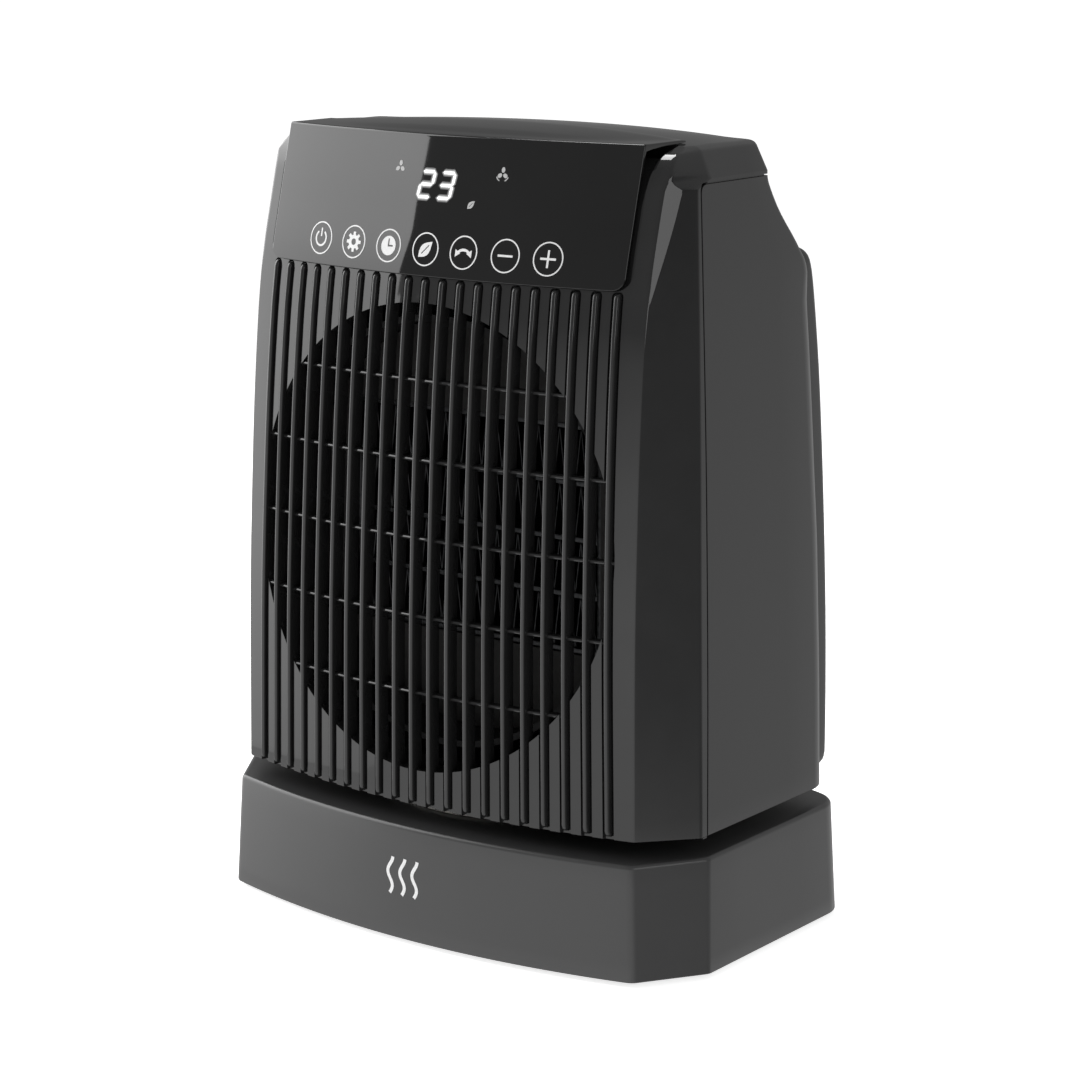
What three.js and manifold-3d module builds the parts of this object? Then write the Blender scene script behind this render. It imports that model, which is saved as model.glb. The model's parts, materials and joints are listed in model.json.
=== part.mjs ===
// Portable ceramic fan heater on an oscillating base, with a touch control panel.
// Millimetres, +Z up, front towards -Y. Origin: centre of the footprint, on the plane of the feet.
import * as THREE from 'three';
import { mergeVertices } from 'three/addons/utils/BufferGeometryUtils.js';
import Module from 'manifold-3d';

const wasm = await Module();
wasm.setup();

// ---------------------------------------------------------------- driving dimensions
const GAP = 0.3;                 // clearance between pieces that touch
const WALL = 2.5;                // moulded wall thickness
const PLAN_R = 375;              // plan radius of the bowed front and rear faces

const FOOT = { r: 8, h: 2, x: 74, y: 50 };
const BASE = { z0: 2, zEdge: 46.6, zTop: 48.4, bevel: 1.1, halfW: 117.5, frontHalf: 99.7,
  depth: 77.3, sideY: 36.6, flare: 2.1, rearR: 15 };
const BODY = { z0: 56, zTop: 316.8, sideSeamZ: 304.4 };
const PIVOT = { skirtR: 56, tubeR: 20, boreR: 14, zSkirt: 50.3, zEnd: 30 };
const OUTLET = { z: 163, rx: 88.5, rz: 92.3, rim: 2.2 };
const RIB = { count: 21, pitchLow: 8.8, pitchTop: 8.4, width: 2.6, proud: 1.7, deep: 4.4, zTop: 264.6 };
const BAR = { count: 5, pitch: 30.8, rise: 0.8, height: 2, front: 0.3, back: 4.3 };
const PANEL = { halfW: 87.2, z0: 265.6, zFront: 318.9, proud: 1.8, thick: 1.4, cornerR: 5,
  capThick: 2.6, capRear: -3 };
const WINDOW = { halfW: 78, z0: 269, z1: 309 };
const FAN = { z: OUTLET.z, tipR: 79, hubR: 20, y0: 6, y1: 30, blades: 7 };
const DUCT = { rIn: 84, rOut: 86.5, y0: -53, y1: 32 };
const HEATER = { r: 83.4, w: 124, h: 92, y0: -32, y1: -18, rows: 4, cols: 14 };
const GEAR = { module: 1.3, pinion: 14, wheel: 56, backlash: 0.45, spread: 0.25, z0: 35.5, z1: 41.5 };
const COVER = { planR: 557 };
const VENT = { rows: 12, pitch: 15, open: 7, z0: 76, centre: 46, halfW: 42 };
const INLET = { halfW: 84, z0: 78, z1: 250 };
const SWITCH = { x: -58, z: 25, tilt: 7 };
const GLAND = { x: 58, z: 22, r: 6.5 };
const KEYS = { count: 7, pitch: 18.8, r: 4, reach: 12.6 };
const SCREW = { x: 98, y: 40, boss: 5, bore: 2, head: 3.2, shank: 1.7, passage: 3.6 };
const SWING_MOTOR = { r: 25, earSpan: 62, screwX: 28, plateW: 78, plateD: 38 };
const BOARD_SIZE = { panel: [148, 40], power: [124, 50], thick: 1.6 };

// ---------------------------------------------------------------- profile laws of the housing
function table(rows) {
  return (z) => {
    if (z <= rows[0][0]) return rows[0][1];
    for (let i = 1; i < rows.length; i++) {
      const [a, va] = rows[i - 1], [b, vb] = rows[i];
      if (z <= b) return va + (vb - va) * (z - a) / (b - a);
    }
    return rows[rows.length - 1][1];
  };
}
const sag = (x, r = PLAN_R) => r - Math.sqrt(r * r - x * x);
const frontDepth = table([[56, 72.5], [120, 71.7], [190, 68.7], [240, 64.8], [266, 61.3],
  [292, 55.1], [320, 47.9]]);
const frontHalf = table([[56, 98], [302.5, 95.2], [304.2, 95.5], [305.9, 95.9], [307.6, 96.4],
  [309.5, 96.2], [312.5, 95.2], [316.8, 93.6]]);
const sideHalf = table([[56, 115.8], [305.8, 103], [316.8, 95.5]]);
const sideCorner = table([[56, -39.5], [148, -34.9], [216, -31.6], [262, -29.8], [302.5, -28.6],
  [305.9, -20], [316.8, -16.3]]);
const rearDepth = table([[56, 70], [112, 71.2], [150, 71.2], [180, 70.2], [262, 65.6], [268, 63.2],
  [273, 58.6], [280, 52], [288, 44.6], [296, 38.8], [304, 35.2], [316.8, 35.4]]);
const rearRadius = table([[56, 14], [250, 14], [272, 6], [280, 4], [318, 3]]);
const seamY = table([[56, -35.5], [109, -32.4], [163, -29.9], [214, -28.1], [301, -26.2]]);
const coverDepth = table([[57.5, 75.2], [60, 78], [64, 79.2], [110, 79.1], [142, 78.7], [215, 76.8],
  [250, 74.2], [262, 72.6], [267, 71.2], [270.3, 69.4], [272, 66.5]]);
const coverHalf = table([[57.5, 100.5], [60, 103.2], [64, 104.4], [262, 97], [267, 96.6], [270.3, 95.2],
  [272, 92.5]]);
const SHOULDER = { z: 301, drop: 15.8 };
// the chamfer between face and side; above zTop its upper edge climbs forwards to the apex
const CHAMFER = { zTop: 302.5, zApex: 308, run: [8, 11.4] };
const chamferShare = table([[302.5, 0.53], [304.2, 0.3], [305.9, 0.14], [307.6, 0.09], [309.5, 0.2]]);
const shoulder = (z) => {
  const t = Math.min(1, Math.max(0, (z - SHOULDER.z) / SHOULDER.drop));
  return 16 * (1 - Math.sqrt(1 - t * t));
};
const crown = (x, y) => 320.4 - 0.0012 * (y + 5) ** 2 - 0.00036 * x * x;

// ---------------------------------------------------------------- mesh helpers
function mesh3(positions, index) {
  const g = new THREE.BufferGeometry();
  g.setAttribute('position', new THREE.Float32BufferAttribute(positions, 3));
  g.setIndex(index);
  return outward(g);
}
function outward(g) {
  const p = g.attributes.position, ix = g.index;
  const a = new THREE.Vector3(), b = new THREE.Vector3(), c = new THREE.Vector3();
  let v = 0;
  for (let i = 0; i < ix.count; i += 3) {
    a.fromBufferAttribute(p, ix.getX(i));
    b.fromBufferAttribute(p, ix.getX(i + 1));
    c.fromBufferAttribute(p, ix.getX(i + 2));
    v += a.dot(b.cross(c));
  }
  if (v < 0) {
    for (let i = 0; i < ix.count; i += 3) {
      const t = ix.getX(i + 1);
      ix.setX(i + 1, ix.getX(i + 2));
      ix.setX(i + 2, t);
    }
  }
  return g;
}
function tidy(g) {
  g.deleteAttribute('normal');
  g.deleteAttribute('uv');
  return outward(mergeVertices(g, 1e-4));
}
function manifold(g) {
  return new wasm.Manifold(new wasm.Mesh({
    numProp: 3,
    vertProperties: new Float32Array(g.attributes.position.array),
    triVerts: new Uint32Array(g.index.array),
  }));
}
function geometry(m) {
  const out = m.getMesh();
  return mesh3(Array.from(out.vertProperties), Array.from(out.triVerts));
}
const cut = (g, ...tools) => geometry(tools.reduce((m, t) => m.subtract(manifold(t)), manifold(g)));
const join = (g, ...more) => geometry(more.reduce((m, t) => m.add(manifold(t)), manifold(g)));
const common = (g, t) => geometry(manifold(g).intersect(manifold(t)));

// Closed body through rings of equal point count; flat ends triangulated in their own plane.
function loft(rings, ends = ['flat', 'flat'], plane = 'xy') {
  const n = rings[0].length, pos = rings.flat(2), index = [];
  for (let r = 0; r + 1 < rings.length; r++) {
    for (let i = 0; i < n; i++) {
      const j = (i + 1) % n, a = r * n + i, b = r * n + j;
      index.push(a, b, b + n, a, b + n, a + n);
    }
  }
  const axes = plane === 'xy' ? [0, 1] : [1, 2];
  [[0, true], [rings.length - 1, false]].forEach(([r, flip], k) => {
    const base = r * n;
    if (ends[k] === 'flat') {
      const ring = rings[r].map((p) => new THREE.Vector2(p[axes[0]], p[axes[1]]));
      const cw = THREE.ShapeUtils.isClockWise(ring);
      for (const [a, b, c] of THREE.ShapeUtils.triangulateShape(ring, [])) {
        index.push(...(flip !== cw ? [base + a, base + c, base + b] : [base + a, base + b, base + c]));
      }
    } else {
      pos.push(...ends[k]);
      const top = pos.length / 3 - 1;
      for (let i = 0; i < n; i++) {
        const j = (i + 1) % n;
        index.push(...(flip ? [base + j, base + i, top] : [base + i, base + j, top]));
      }
    }
  });
  return mesh3(pos, index);
}
function box(x0, x1, y0, y1, z0, z1) {
  const g = new THREE.BoxGeometry(x1 - x0, y1 - y0, z1 - z0);
  g.translate((x0 + x1) / 2, (y0 + y1) / 2, (z0 + z1) / 2);
  return tidy(g);
}
function turned(profile, segments = 32) {
  const closed = [...profile, profile[0]].map(([r, z]) => new THREE.Vector2(r, z));
  const g = new THREE.LatheGeometry(closed, segments);
  g.rotateX(Math.PI / 2);
  g.deleteAttribute('normal');
  g.deleteAttribute('uv');
  return outward(clean(mergeVertices(g, 1e-4)));
}
function clean(g) {
  const ix = Array.from(g.index.array), keep = [];
  for (let i = 0; i < ix.length; i += 3) {
    const [a, b, c] = ix.slice(i, i + 3);
    if (a !== b && b !== c && a !== c) keep.push(a, b, c);
  }
  g.setIndex(keep);
  return g;
}
function plate(points, z0, z1, holes = []) {
  const shape = new THREE.Shape(points.map(([x, y]) => new THREE.Vector2(x, y)));
  shape.holes = holes.map((h) => new THREE.Path(h.map(([x, y]) => new THREE.Vector2(x, y))));
  const g = new THREE.ExtrudeGeometry(shape, { depth: z1 - z0, bevelEnabled: false, steps: 1 });
  g.translate(0, 0, z0);
  return tidy(g);
}
function circle(r, n = 24, cx = 0, cy = 0) {
  return Array.from({ length: n }, (_, i) => {
    const a = 2 * Math.PI * i / n;
    return [cx + r * Math.cos(a), cy + r * Math.sin(a)];
  });
}
function rect(w, h, cx = 0, cy = 0, r = 0, n = 3) {
  const x0 = cx - w / 2, x1 = cx + w / 2, y0 = cy - h / 2, y1 = cy + h / 2;
  if (!r) return [[x0, y0], [x1, y0], [x1, y1], [x0, y1]];
  const out = [];
  [[1, -1, -90], [1, 1, 0], [-1, 1, 90], [-1, -1, 180]].forEach(([sx, sy, a0]) => {
    for (let i = 0; i <= n; i++) {
      const a = THREE.MathUtils.degToRad(a0 + 90 * i / n);
      out.push([cx + sx * (w / 2 - r) + r * Math.cos(a), cy + sy * (h / 2 - r) + r * Math.sin(a)]);
    }
  });
  return out;
}
const root = new THREE.Group();
function add(name, geo, look, parent = root) {
  const m = new THREE.Mesh(geo, new THREE.MeshStandardMaterial(look));
  m.name = name;
  parent.add(m);
  return m;
}

// ---------------------------------------------------------------- looks
const SHELL = { color: 0x3a3b3d, roughness: 0.42, metalness: 0 };
const GLOSS = { color: 0x0b0b0c, roughness: 0.08, metalness: 0 };
const INNER = { color: 0x101011, roughness: 0.6, metalness: 0 };
const BASIC = { color: 0x454648, roughness: 0.45, metalness: 0 };
const RUBBER = { color: 0x151515, roughness: 0.9, metalness: 0 };
const STEEL = { color: 0x9b9b9b, roughness: 0.35, metalness: 1 };
const ALU = { color: 0xc4c6c8, roughness: 0.35, metalness: 1 };
const BOARD = { color: 0x1f5a34, roughness: 0.5, metalness: 0 };
const POM = { color: 0xe6e4dc, roughness: 0.5, metalness: 0 };
const HEATPROOF = { color: 0x2a2622, roughness: 0.7, metalness: 0 };
const RELAY = { color: 0x1b4f8a, roughness: 0.5, metalness: 0 };

// ---------------------------------------------------------------- base
// Plan outline of the base: bowed front, bevelled front corners, straight sides, rounded rear.
function baseOutline(grow) {
  const frontSteps = 12;
  const hw = BASE.halfW + grow, fh = BASE.frontHalf + grow, d = BASE.depth + grow, r = BASE.rearR;
  const pts = [];
  for (let i = 0; i <= frontSteps; i++) {
    const x = -fh + 2 * fh * i / frontSteps;
    pts.push([x, -d + sag(x)]);
  }
  pts.push([hw, -BASE.sideY - grow]);
  const rearX = hw - r, rearY = d - sag(rearX) - r;
  for (let i = 0; i <= 4; i++) {
    const a = (Math.PI / 2 - 0.28) * i / 4;
    pts.push([rearX + r * Math.cos(a), rearY + r * Math.sin(a)]);
  }
  for (let i = 1; i < 10; i++) {
    const x = rearX - 2 * rearX * i / 10;
    pts.push([x, d - sag(x)]);
  }
  for (let i = 4; i >= 0; i--) {
    const a = (Math.PI / 2 - 0.28) * i / 4;
    pts.push([-rearX - r * Math.cos(a), rearY + r * Math.sin(a)]);
  }
  pts.push([-hw, -BASE.sideY - grow]);
  return pts;
}
const at = (pts, z) => pts.map(([x, y]) => [x, y, z]);

function baseShell() {
  const outer = loft([at(baseOutline(BASE.flare), BASE.z0), at(baseOutline(0), BASE.zEdge),
    at(baseOutline(-BASE.bevel), BASE.zTop)]);
  const inner = loft([at(baseOutline(BASE.flare - WALL), BASE.z0 - 1),
    at(baseOutline(-WALL), BASE.zTop - 2.4)]);
  let g = cut(outer, inner);
  g = cut(g, plate(circle(PIVOT.tubeR + 1, 40), BASE.zTop - 6, BASE.zTop + 2));
  for (const sx of [-1, 1]) {
    for (const sy of [-1, 1]) {
      const boss = plate(circle(SCREW.boss, 12, sx * SCREW.x, sy * SCREW.y), 5, BASE.zTop - 1);
      g = cut(join(g, boss), plate(circle(SCREW.bore, 10, sx * SCREW.x, sy * SCREW.y), 4, 24));
    }
  }
  const wallY = BASE.depth + BASE.flare - sag(58);
  const wallTurn = Math.asin(SWITCH.x / PLAN_R);
  const slot = box(-9.6, 9.6, -12, 12, -6.9, 6.9);
  slot.rotateZ(-wallTurn);
  slot.translate(SWITCH.x, wallY, SWITCH.z);
  const hole = plate(circle(GLAND.r + GAP, 20), -14, 14);
  hole.rotateX(Math.PI / 2);
  hole.rotateZ(-Math.asin(GLAND.x / PLAN_R));
  hole.translate(GLAND.x, wallY, GLAND.z);
  return cut(g, slot, hole);
}
add('base_shell', baseShell(), BASIC);

const screwSpots = [[-1, -1], [1, -1], [-1, 1], [1, 1]].map(([sx, sy]) => [sx * SCREW.x, sy * SCREW.y]);
add('base_plate', plate(baseOutline(BASE.flare - WALL - 0.5), BASE.z0 + GAP, BASE.z0 + 2.3,
  screwSpots.map(([x, y]) => circle(SCREW.passage, 12, x, y).reverse())), INNER);
[['foot_front_left', -1, -1], ['foot_front_right', 1, -1], ['foot_rear_left', -1, 1], ['foot_rear_right', 1, 1]]
  .forEach(([name, sx, sy]) => {
    const pad = turned([[0, 0], [FOOT.r - 0.8, 0], [FOOT.r, 0.8], [FOOT.r, FOOT.h], [0, FOOT.h]], 20);
    add(name, pad, RUBBER).position.set(sx * FOOT.x, sy * FOOT.y, 0);
  });
screwSpots.forEach(([x, y], i) => {
  const screw = turned([[0, 2.4], [SCREW.head, 2.4], [SCREW.head, 4], [SCREW.shank, 4.4],
    [SCREW.shank, 18], [0, 18.8]], 12);
  add(`base_screw_${i + 1}`, screw, STEEL).position.set(x, y, 0);
});
add('slide_ring', turned([[46, BASE.zTop + GAP], [54, BASE.zTop + GAP], [54, PIVOT.zSkirt - GAP],
  [46, PIVOT.zSkirt - GAP]], 48), POM);

const axleY = (GEAR.module * (GEAR.pinion + GEAR.wheel)) / 2 + GEAR.spread;
const can = SWING_MOTOR.r;
add('swing_motor', join(turned([[0, 8], [can - 1, 8], [can, 9], [can, 26], [can - 1, 26.8], [0, 26.8]], 32),
  turned([[0, 26], [5, 26], [5, 29.4], [0, 29.4]], 16),
  plate(rect(SWING_MOTOR.earSpan, 9, 0, 0, 4.2), 25, 26.4)), STEEL).position.set(0, axleY, 0);
const earScrews = [SWING_MOTOR.screwX, -SWING_MOTOR.screwX].map((x) => circle(1.8, 10, x, 0).reverse());
add('swing_motor_plate', plate(rect(SWING_MOTOR.plateW, SWING_MOTOR.plateD, 0, 0, 5), 27.3, 29.2,
  [circle(5.6, 20).reverse(), ...earScrews]), STEEL).position.set(0, axleY, 0);

// Involute tooth ring; teeth are centred on angle `phase`.
function gearOutline(teeth, phase, tip, root, thin) {
  const m = GEAR.module, rp = m * teeth / 2, rb = rp * Math.cos(THREE.MathUtils.degToRad(20));
  const inv = (r) => { const a = Math.acos(Math.min(1, rb / r)); return Math.tan(a) - a; };
  const ra = rp + tip * m, rf = rp - root * m, start = Math.max(rb + 0.01, rf);
  const half = (r) => Math.PI / (2 * teeth) - thin / (2 * rp) + inv(rp) - inv(r);
  const radii = [0, 1, 2].map((i) => start + (ra - start) * i / 2);
  return (k) => {
    const c = phase + 2 * Math.PI * k / teeth;
    const pts = [];
    if (rf < start) pts.push([rf, c - half(start)]);
    radii.forEach((r) => pts.push([r, c - half(r)]));
    [...radii].reverse().forEach((r) => pts.push([r, c + half(r)]));
    if (rf < start) pts.push([rf, c + half(start)]);
    return pts.map(([r, a]) => [r * Math.cos(a), r * Math.sin(a)]);
  };
}
const pinionTooth = gearOutline(GEAR.pinion, -Math.PI / 2 + Math.PI / GEAR.pinion, 0.85, 1.2, GEAR.backlash);
const pinionRing = Array.from({ length: GEAR.pinion }, (_, k) => pinionTooth(k)).flat();
add('swing_pinion', join(plate(pinionRing, GEAR.z0 - 0.6, GEAR.z1 + 0.6),
  turned([[0, 29.9], [4.6, 29.9], [4.6, GEAR.z0], [0, GEAR.z0]], 16)), POM).position.set(0, axleY, 0);

const gland = turned([[0, -10], [9, -10], [9, -2.9], [GLAND.r, -2.9], [GLAND.r, 3], [5, 4.4], [0, 4.4]], 20);
const glandBored = cut(gland, plate(circle(3.4, 12), -12, 6));
glandBored.rotateX(-Math.PI / 2);
const glandMesh = add('cord_gland', glandBored, RUBBER);
glandMesh.rotation.z = -Math.asin(GLAND.x / PLAN_R);
glandMesh.position.set(GLAND.x, BASE.depth + BASE.flare - sag(GLAND.x) - 1.3, GLAND.z);

// Main switch: the bezel and its well are fixed, the rocker turns on a horizontal pin across it.
const switchGroup = new THREE.Group();
switchGroup.position.set(SWITCH.x, BASE.depth + BASE.flare - sag(SWITCH.x) - 1.1, SWITCH.z);
switchGroup.rotation.z = -Math.asin(SWITCH.x / PLAN_R);
root.add(switchGroup);
const well = join(box(-9.2, 9.2, -13, 1.4, -6.5, 6.5), box(-10.6, 10.6, 0.6, 2, -7.9, 7.9));
add('switch_body', cut(well, box(-8, 8, -7, 4, -5.3, 5.3)), GLOSS, switchGroup);
const rocker = plate([[-7.3, -3.2], [7.3, -3.2], [7.3, 2.1], [0, 0.9], [-7.3, 2.1]], -4.9, 4.9);
const rockerMesh = add('switch_rocker', rocker, GLOSS, switchGroup);
rockerMesh.rotation.z = THREE.MathUtils.degToRad(SWITCH.tilt);
rockerMesh.position.set(0, -1.4, 0);

// ---------------------------------------------------------------- housing envelope
function bodyOutline(z) {
  const front = 6, fh = frontHalf(z);
  const d = frontDepth(z) - shoulder(z), hw = sideHalf(z), r = rearRadius(z);
  const pts = [];
  for (let i = 0; i <= front; i++) {
    const x = -fh + 2 * fh * i / front;
    pts.push([x, -d + sag(x)]);
  }
  const faceY = -d + sag(fh), cornerY = Math.max(sideCorner(z), faceY + 4), share = chamferShare(z);
  const climbing = z > CHAMFER.zTop && z < CHAMFER.zApex;
  const run = climbing ? CHAMFER.run : [hw - fh, cornerY - faceY];
  const cheek = [fh + share * run[0], faceY + share * run[1]];
  pts.push(cheek, [hw, cornerY]);
  const cx = hw - r, cy = rearDepth(z) - sag(cx) - r;
  for (let i = 0; i <= 4; i++) {
    const a = (Math.PI / 2 - 0.27) * i / 4;
    pts.push([cx + r * Math.cos(a), cy + r * Math.sin(a)]);
  }
  for (let i = 1; i < 6; i++) {
    const x = cx - 2 * cx * i / 6;
    pts.push([x, rearDepth(z) - sag(x)]);
  }
  for (let i = 4; i >= 0; i--) {
    const a = (Math.PI / 2 - 0.27) * i / 4;
    pts.push([-cx - r * Math.cos(a), cy + r * Math.sin(a)]);
  }
  pts.push([-hw, cornerY], [-cheek[0], cheek[1]]);
  return pts;
}
function inset(pts, t) {
  const n = pts.length;
  return pts.map((p, i) => {
    const a = pts[(i + n - 1) % n], b = pts[(i + 1) % n];
    const e0 = [p[0] - a[0], p[1] - a[1]], e1 = [b[0] - p[0], b[1] - p[1]];
    const l0 = Math.hypot(...e0), l1 = Math.hypot(...e1);
    const n0 = [-e0[1] / l0, e0[0] / l0], n1 = [-e1[1] / l1, e1[0] / l1];
    const s = 1 + n0[0] * n1[0] + n0[1] * n1[1];
    return [p[0] + t * (n0[0] + n1[0]) / s, p[1] + t * (n0[1] + n1[1]) / s];
  });
}
const LEVELS = [56, 120, 190, 240, 266, 273, 280, 288, 296, 302.5, 304.2, 305.9, 307.6, 309.5, 312.5,
  314.8, 316.2, 316.8];
function bodySolid(offset, z0) {
  const rings = LEVELS.map((z, i) => {
    const zz = i === 0 ? z0 : z - offset * (z > 300 ? 1 : 0);
    return at(offset ? inset(bodyOutline(z), offset) : bodyOutline(z), zz);
  });
  const rim = rings[rings.length - 1];
  const cy = rim.reduce((s, p) => s + p[1], 0) / rim.length;
  for (const k of [0.97, 0.8, 0.5]) {
    rings.push(rim.map(([x, y]) => {
      const px = x * k, py = cy + (y - cy) * k;
      return [px, py, Math.max(crown(px, py), BODY.zTop + 0.15 * (1 - k)) - offset];
    }));
  }
  return loft(rings, ['flat', [0, cy, crown(0, cy) - offset]]);
}
function seamBlock(side) {
  const g = side === 'front' ? -GAP : GAP;
  const rows = [56, 109, 163, 214, 298.5].map((z) => [seamY(z) + g, z]);
  rows[0][1] = 40;
  const zs = BODY.sideSeamZ - g;
  const rise = [[seamY(300) + 1.2 + g, 302.6 - g], [seamY(300) + 3.4 + g, zs]];
  const wave = [...rows, ...rise, [90, zs]];
  const far = side === 'front' ? [[90, 340], [-120, 340], [-120, 40]] : [[90, 40]];
  const ring = [...wave, ...far];
  return loft([ring.map(([y, z]) => [-140, y, z]), ring.map(([y, z]) => [140, y, z])], ['flat', 'flat'], 'yz');
}
const hollow = cut(bodySolid(0, BODY.z0), bodySolid(WALL, BODY.z0 - 1));

// ---------------------------------------------------------------- front shell with ribbed outlet
const outletTool = (grow) => {
  const pts = circle(1, 36).map(([x, y]) => [x * (OUTLET.rx + grow), y * (OUTLET.rz + grow)]);
  const g = plate(pts, 0, 120);
  g.rotateX(Math.PI / 2);
  g.translate(0, 0, OUTLET.z);
  return g;
};
function rib(i) {
  const k = i - (RIB.count - 1) / 2;
  const xAt = (z) => k * (RIB.pitchLow + (RIB.pitchTop - RIB.pitchLow) * (z - 56) / 208);
  const zs = [57.6, 61, 120, 190, 240, 262.4, RIB.zTop];
  const proud = zs.map((z, j) => (j === 0 ? 0.2 : j === zs.length - 1 ? 0.8 : RIB.proud));
  return loft(zs.map((z, j) => {
    const x = xAt(z), f = -frontDepth(z) + sag(x), w = RIB.width / 2;
    const out = f - proud[j];
    return [[x - w, f + RIB.deep, z], [x - 0.5 * w, out, z], [x + 0.5 * w, out, z], [x + w, f + RIB.deep, z]];
  }));
}
function bar(i) {
  const z = OUTLET.z + BAR.rise + (i - (BAR.count - 1) / 2) * BAR.pitch, h = BAR.height / 2;
  const xs = Array.from({ length: 7 }, (_, j) => -91 + 182 * j / 6);
  return loft(xs.map((x) => {
    const f = -frontDepth(z) + sag(x);
    return [[x, f + BAR.front, z], [x, f + BAR.back, z + h], [x, f + BAR.back, z - h]];
  }), ['flat', 'flat'], 'yz');
}
const ribs = join(...Array.from({ length: RIB.count }, (_, i) => rib(i)));
const bars = join(...Array.from({ length: BAR.count }, (_, i) => bar(i)));
const frontWall = common(hollow, seamBlock('front'));
const window = box(-WINDOW.halfW, WINDOW.halfW, -90, -20, WINDOW.z0, WINDOW.z1);
add('front_shell', cut(join(cut(frontWall, window), ribs), outletTool(OUTLET.rim + GAP)), SHELL);
const outletRim = cut(frontWall, outletTool(0));
add('outlet_grille', common(join(outletRim, ribs, bars), outletTool(OUTLET.rim)), SHELL);

// ---------------------------------------------------------------- rear shell
function rearShell() {
  let g = common(hollow, seamBlock('rear'));
  const floor = plate(inset(bodyOutline(57), WALL + 2.4), 57, 59.4, [circle(PIVOT.boreR, 32).reverse()]);
  const lip = common(floor, box(-130, 130, -90, 100, 50, 70));
  const bridge = loft([57, 59.4].map((z) => at(inset(bodyOutline(z), WALL - 0.6), z)));
  const rearFloor = cut(common(bridge, box(-130, 130, -24, 100, 50, 70)),
    plate(circle(PIVOT.boreR, 32), 50, 64));
  g = join(g, lip, rearFloor);
  return cut(g, box(-INLET.halfW, INLET.halfW, 30, 90, INLET.z0, INLET.z1));
}
add('rear_shell', rearShell(), SHELL);

// ---------------------------------------------------------------- control panel
function panelSection(x) {
  const over = Math.max(0, Math.abs(x) - (PANEL.halfW - PANEL.cornerR));
  const zb = PANEL.z0 + PANEL.cornerR - Math.sqrt(PANEL.cornerR ** 2 - Math.min(over, PANEL.cornerR) ** 2);
  const s = sag(x), zf = (t) => zb + (PANEL.zFront - zb) * t;
  const face = (z, inner) => -frontDepth(z) - (inner ? PANEL.proud - PANEL.thick : PANEL.proud) + s;
  const outer = [0.012, 0.25, 0.5, 0.75, 0.93, 1].map((t) => [face(zf(t), false), zf(t)]);
  outer.unshift([face(zb, true) - 0.7, zb]);
  const top = (y) => crown(x, y) + 1.15;
  const yTop = outer[outer.length - 1][0];
  const rear = PANEL.capRear - s;
  const cap = [0.1, 0.45, 1].map((t) => {
    const y = yTop + (rear - yTop) * t;
    return [y, Math.max(top(y), PANEL.zFront)];
  });
  const under = [...cap].reverse().map(([y, z]) => [y, z - 0.8]);
  const yIn = face(PANEL.zFront - PANEL.capThick, true);
  under[under.length - 1] = [Math.max(yIn + 1.2, cap[0][0]), PANEL.zFront - PANEL.capThick + 1.2];
  const inner = [0.92, 0.75, 0.5, 0.25, 0].map((t) => [face(zf(t), true), zf(t)]);
  return [...outer, ...cap, ...under, ...inner].map(([y, z]) => [x, y, z]);
}
const panelHalf = [20, 40, 55, 70, 82.2, 84.5, 86.4, PANEL.halfW];
const panelXs = [...panelHalf.map((x) => -x).reverse(), 0, ...panelHalf];
add('control_panel', loft(panelXs.map(panelSection), ['flat', 'flat'], 'yz'), GLOSS);

// ---------------------------------------------------------------- electronics behind the panel
const lean = THREE.MathUtils.degToRad(-14);
const electronics = new THREE.Group();
electronics.position.set(0, -42, 289);
electronics.rotation.x = lean;
root.add(electronics);
const [touchW, touchH] = BOARD_SIZE.panel;
add('touch_board', box(-touchW / 2, touchW / 2, 0, BOARD_SIZE.thick, -23, touchH - 23), BOARD, electronics);
add('display_module', box(-19, 19, -12.4, -GAP, 1.5, 15), INNER, electronics);
for (let i = 0; i < KEYS.count; i++) {
  const x = (i - 3) * KEYS.pitch;
  const spring = plate(circle(KEYS.r, 12), GAP, KEYS.reach - sag(x) - sag(KEYS.r + Math.abs(x)) * 0.12);
  spring.rotateX(Math.PI / 2);
  add(`touch_key_${i + 1}`, spring, STEEL, electronics).position.set(x, 0, -17);
}

// ---------------------------------------------------------------- rear cover and filter
function rearSurface(x, z) {
  const r = rearRadius(z), cx = sideHalf(z) - r, cy = rearDepth(z) - sag(cx) - r, a = Math.abs(x);
  return a <= cx ? rearDepth(z) - sag(x) : cy + Math.sqrt(Math.max(0, r * r - (a - cx) ** 2));
}
function coverRing(z, shrink, forward) {
  const w = coverHalf(z) - shrink, d = coverDepth(z) - shrink, pts = [];
  const steps = 8;
  for (let i = 0; i <= steps; i++) {
    const x = -w + 2 * w * i / steps;
    pts.push([x, rearSurface(x, z) + 2.6 * GAP - forward, z]);
  }
  const edge = d - sag(w, COVER.planR);
  pts.push([w, edge - 4, z], [w - 1.2, edge - 1, z]);
  for (let i = 0; i <= 6; i++) {
    const x = (w - 4) - 2 * (w - 4) * i / 6;
    pts.push([x, d - sag(x, COVER.planR), z]);
  }
  pts.push([-w + 1.2, edge - 1, z], [-w, edge - 4, z]);
  return pts;
}
function rearGrille() {
  const zs = [57.5, 60, 64, 110, 142, 215, 250, 262, 267, 270.3, 272];
  const outer = loft(zs.map((z) => coverRing(z, 0, 0)));
  const inner = loft([60.2, 64, 110, 142, 215, 250, 262, 268].map((z) => coverRing(z, WALL, 3)));
  const slots = [];
  for (let row = 0; row < VENT.rows; row++) {
    for (const cx of [-VENT.centre, VENT.centre]) {
      const z = VENT.z0 + row * VENT.pitch;
      slots.push(box(cx - VENT.halfW, cx + VENT.halfW, 60, 90, z, z + VENT.open));
    }
  }
  return cut(cut(outer, inner), ...slots);
}
add('rear_grille', rearGrille(), SHELL);
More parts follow.
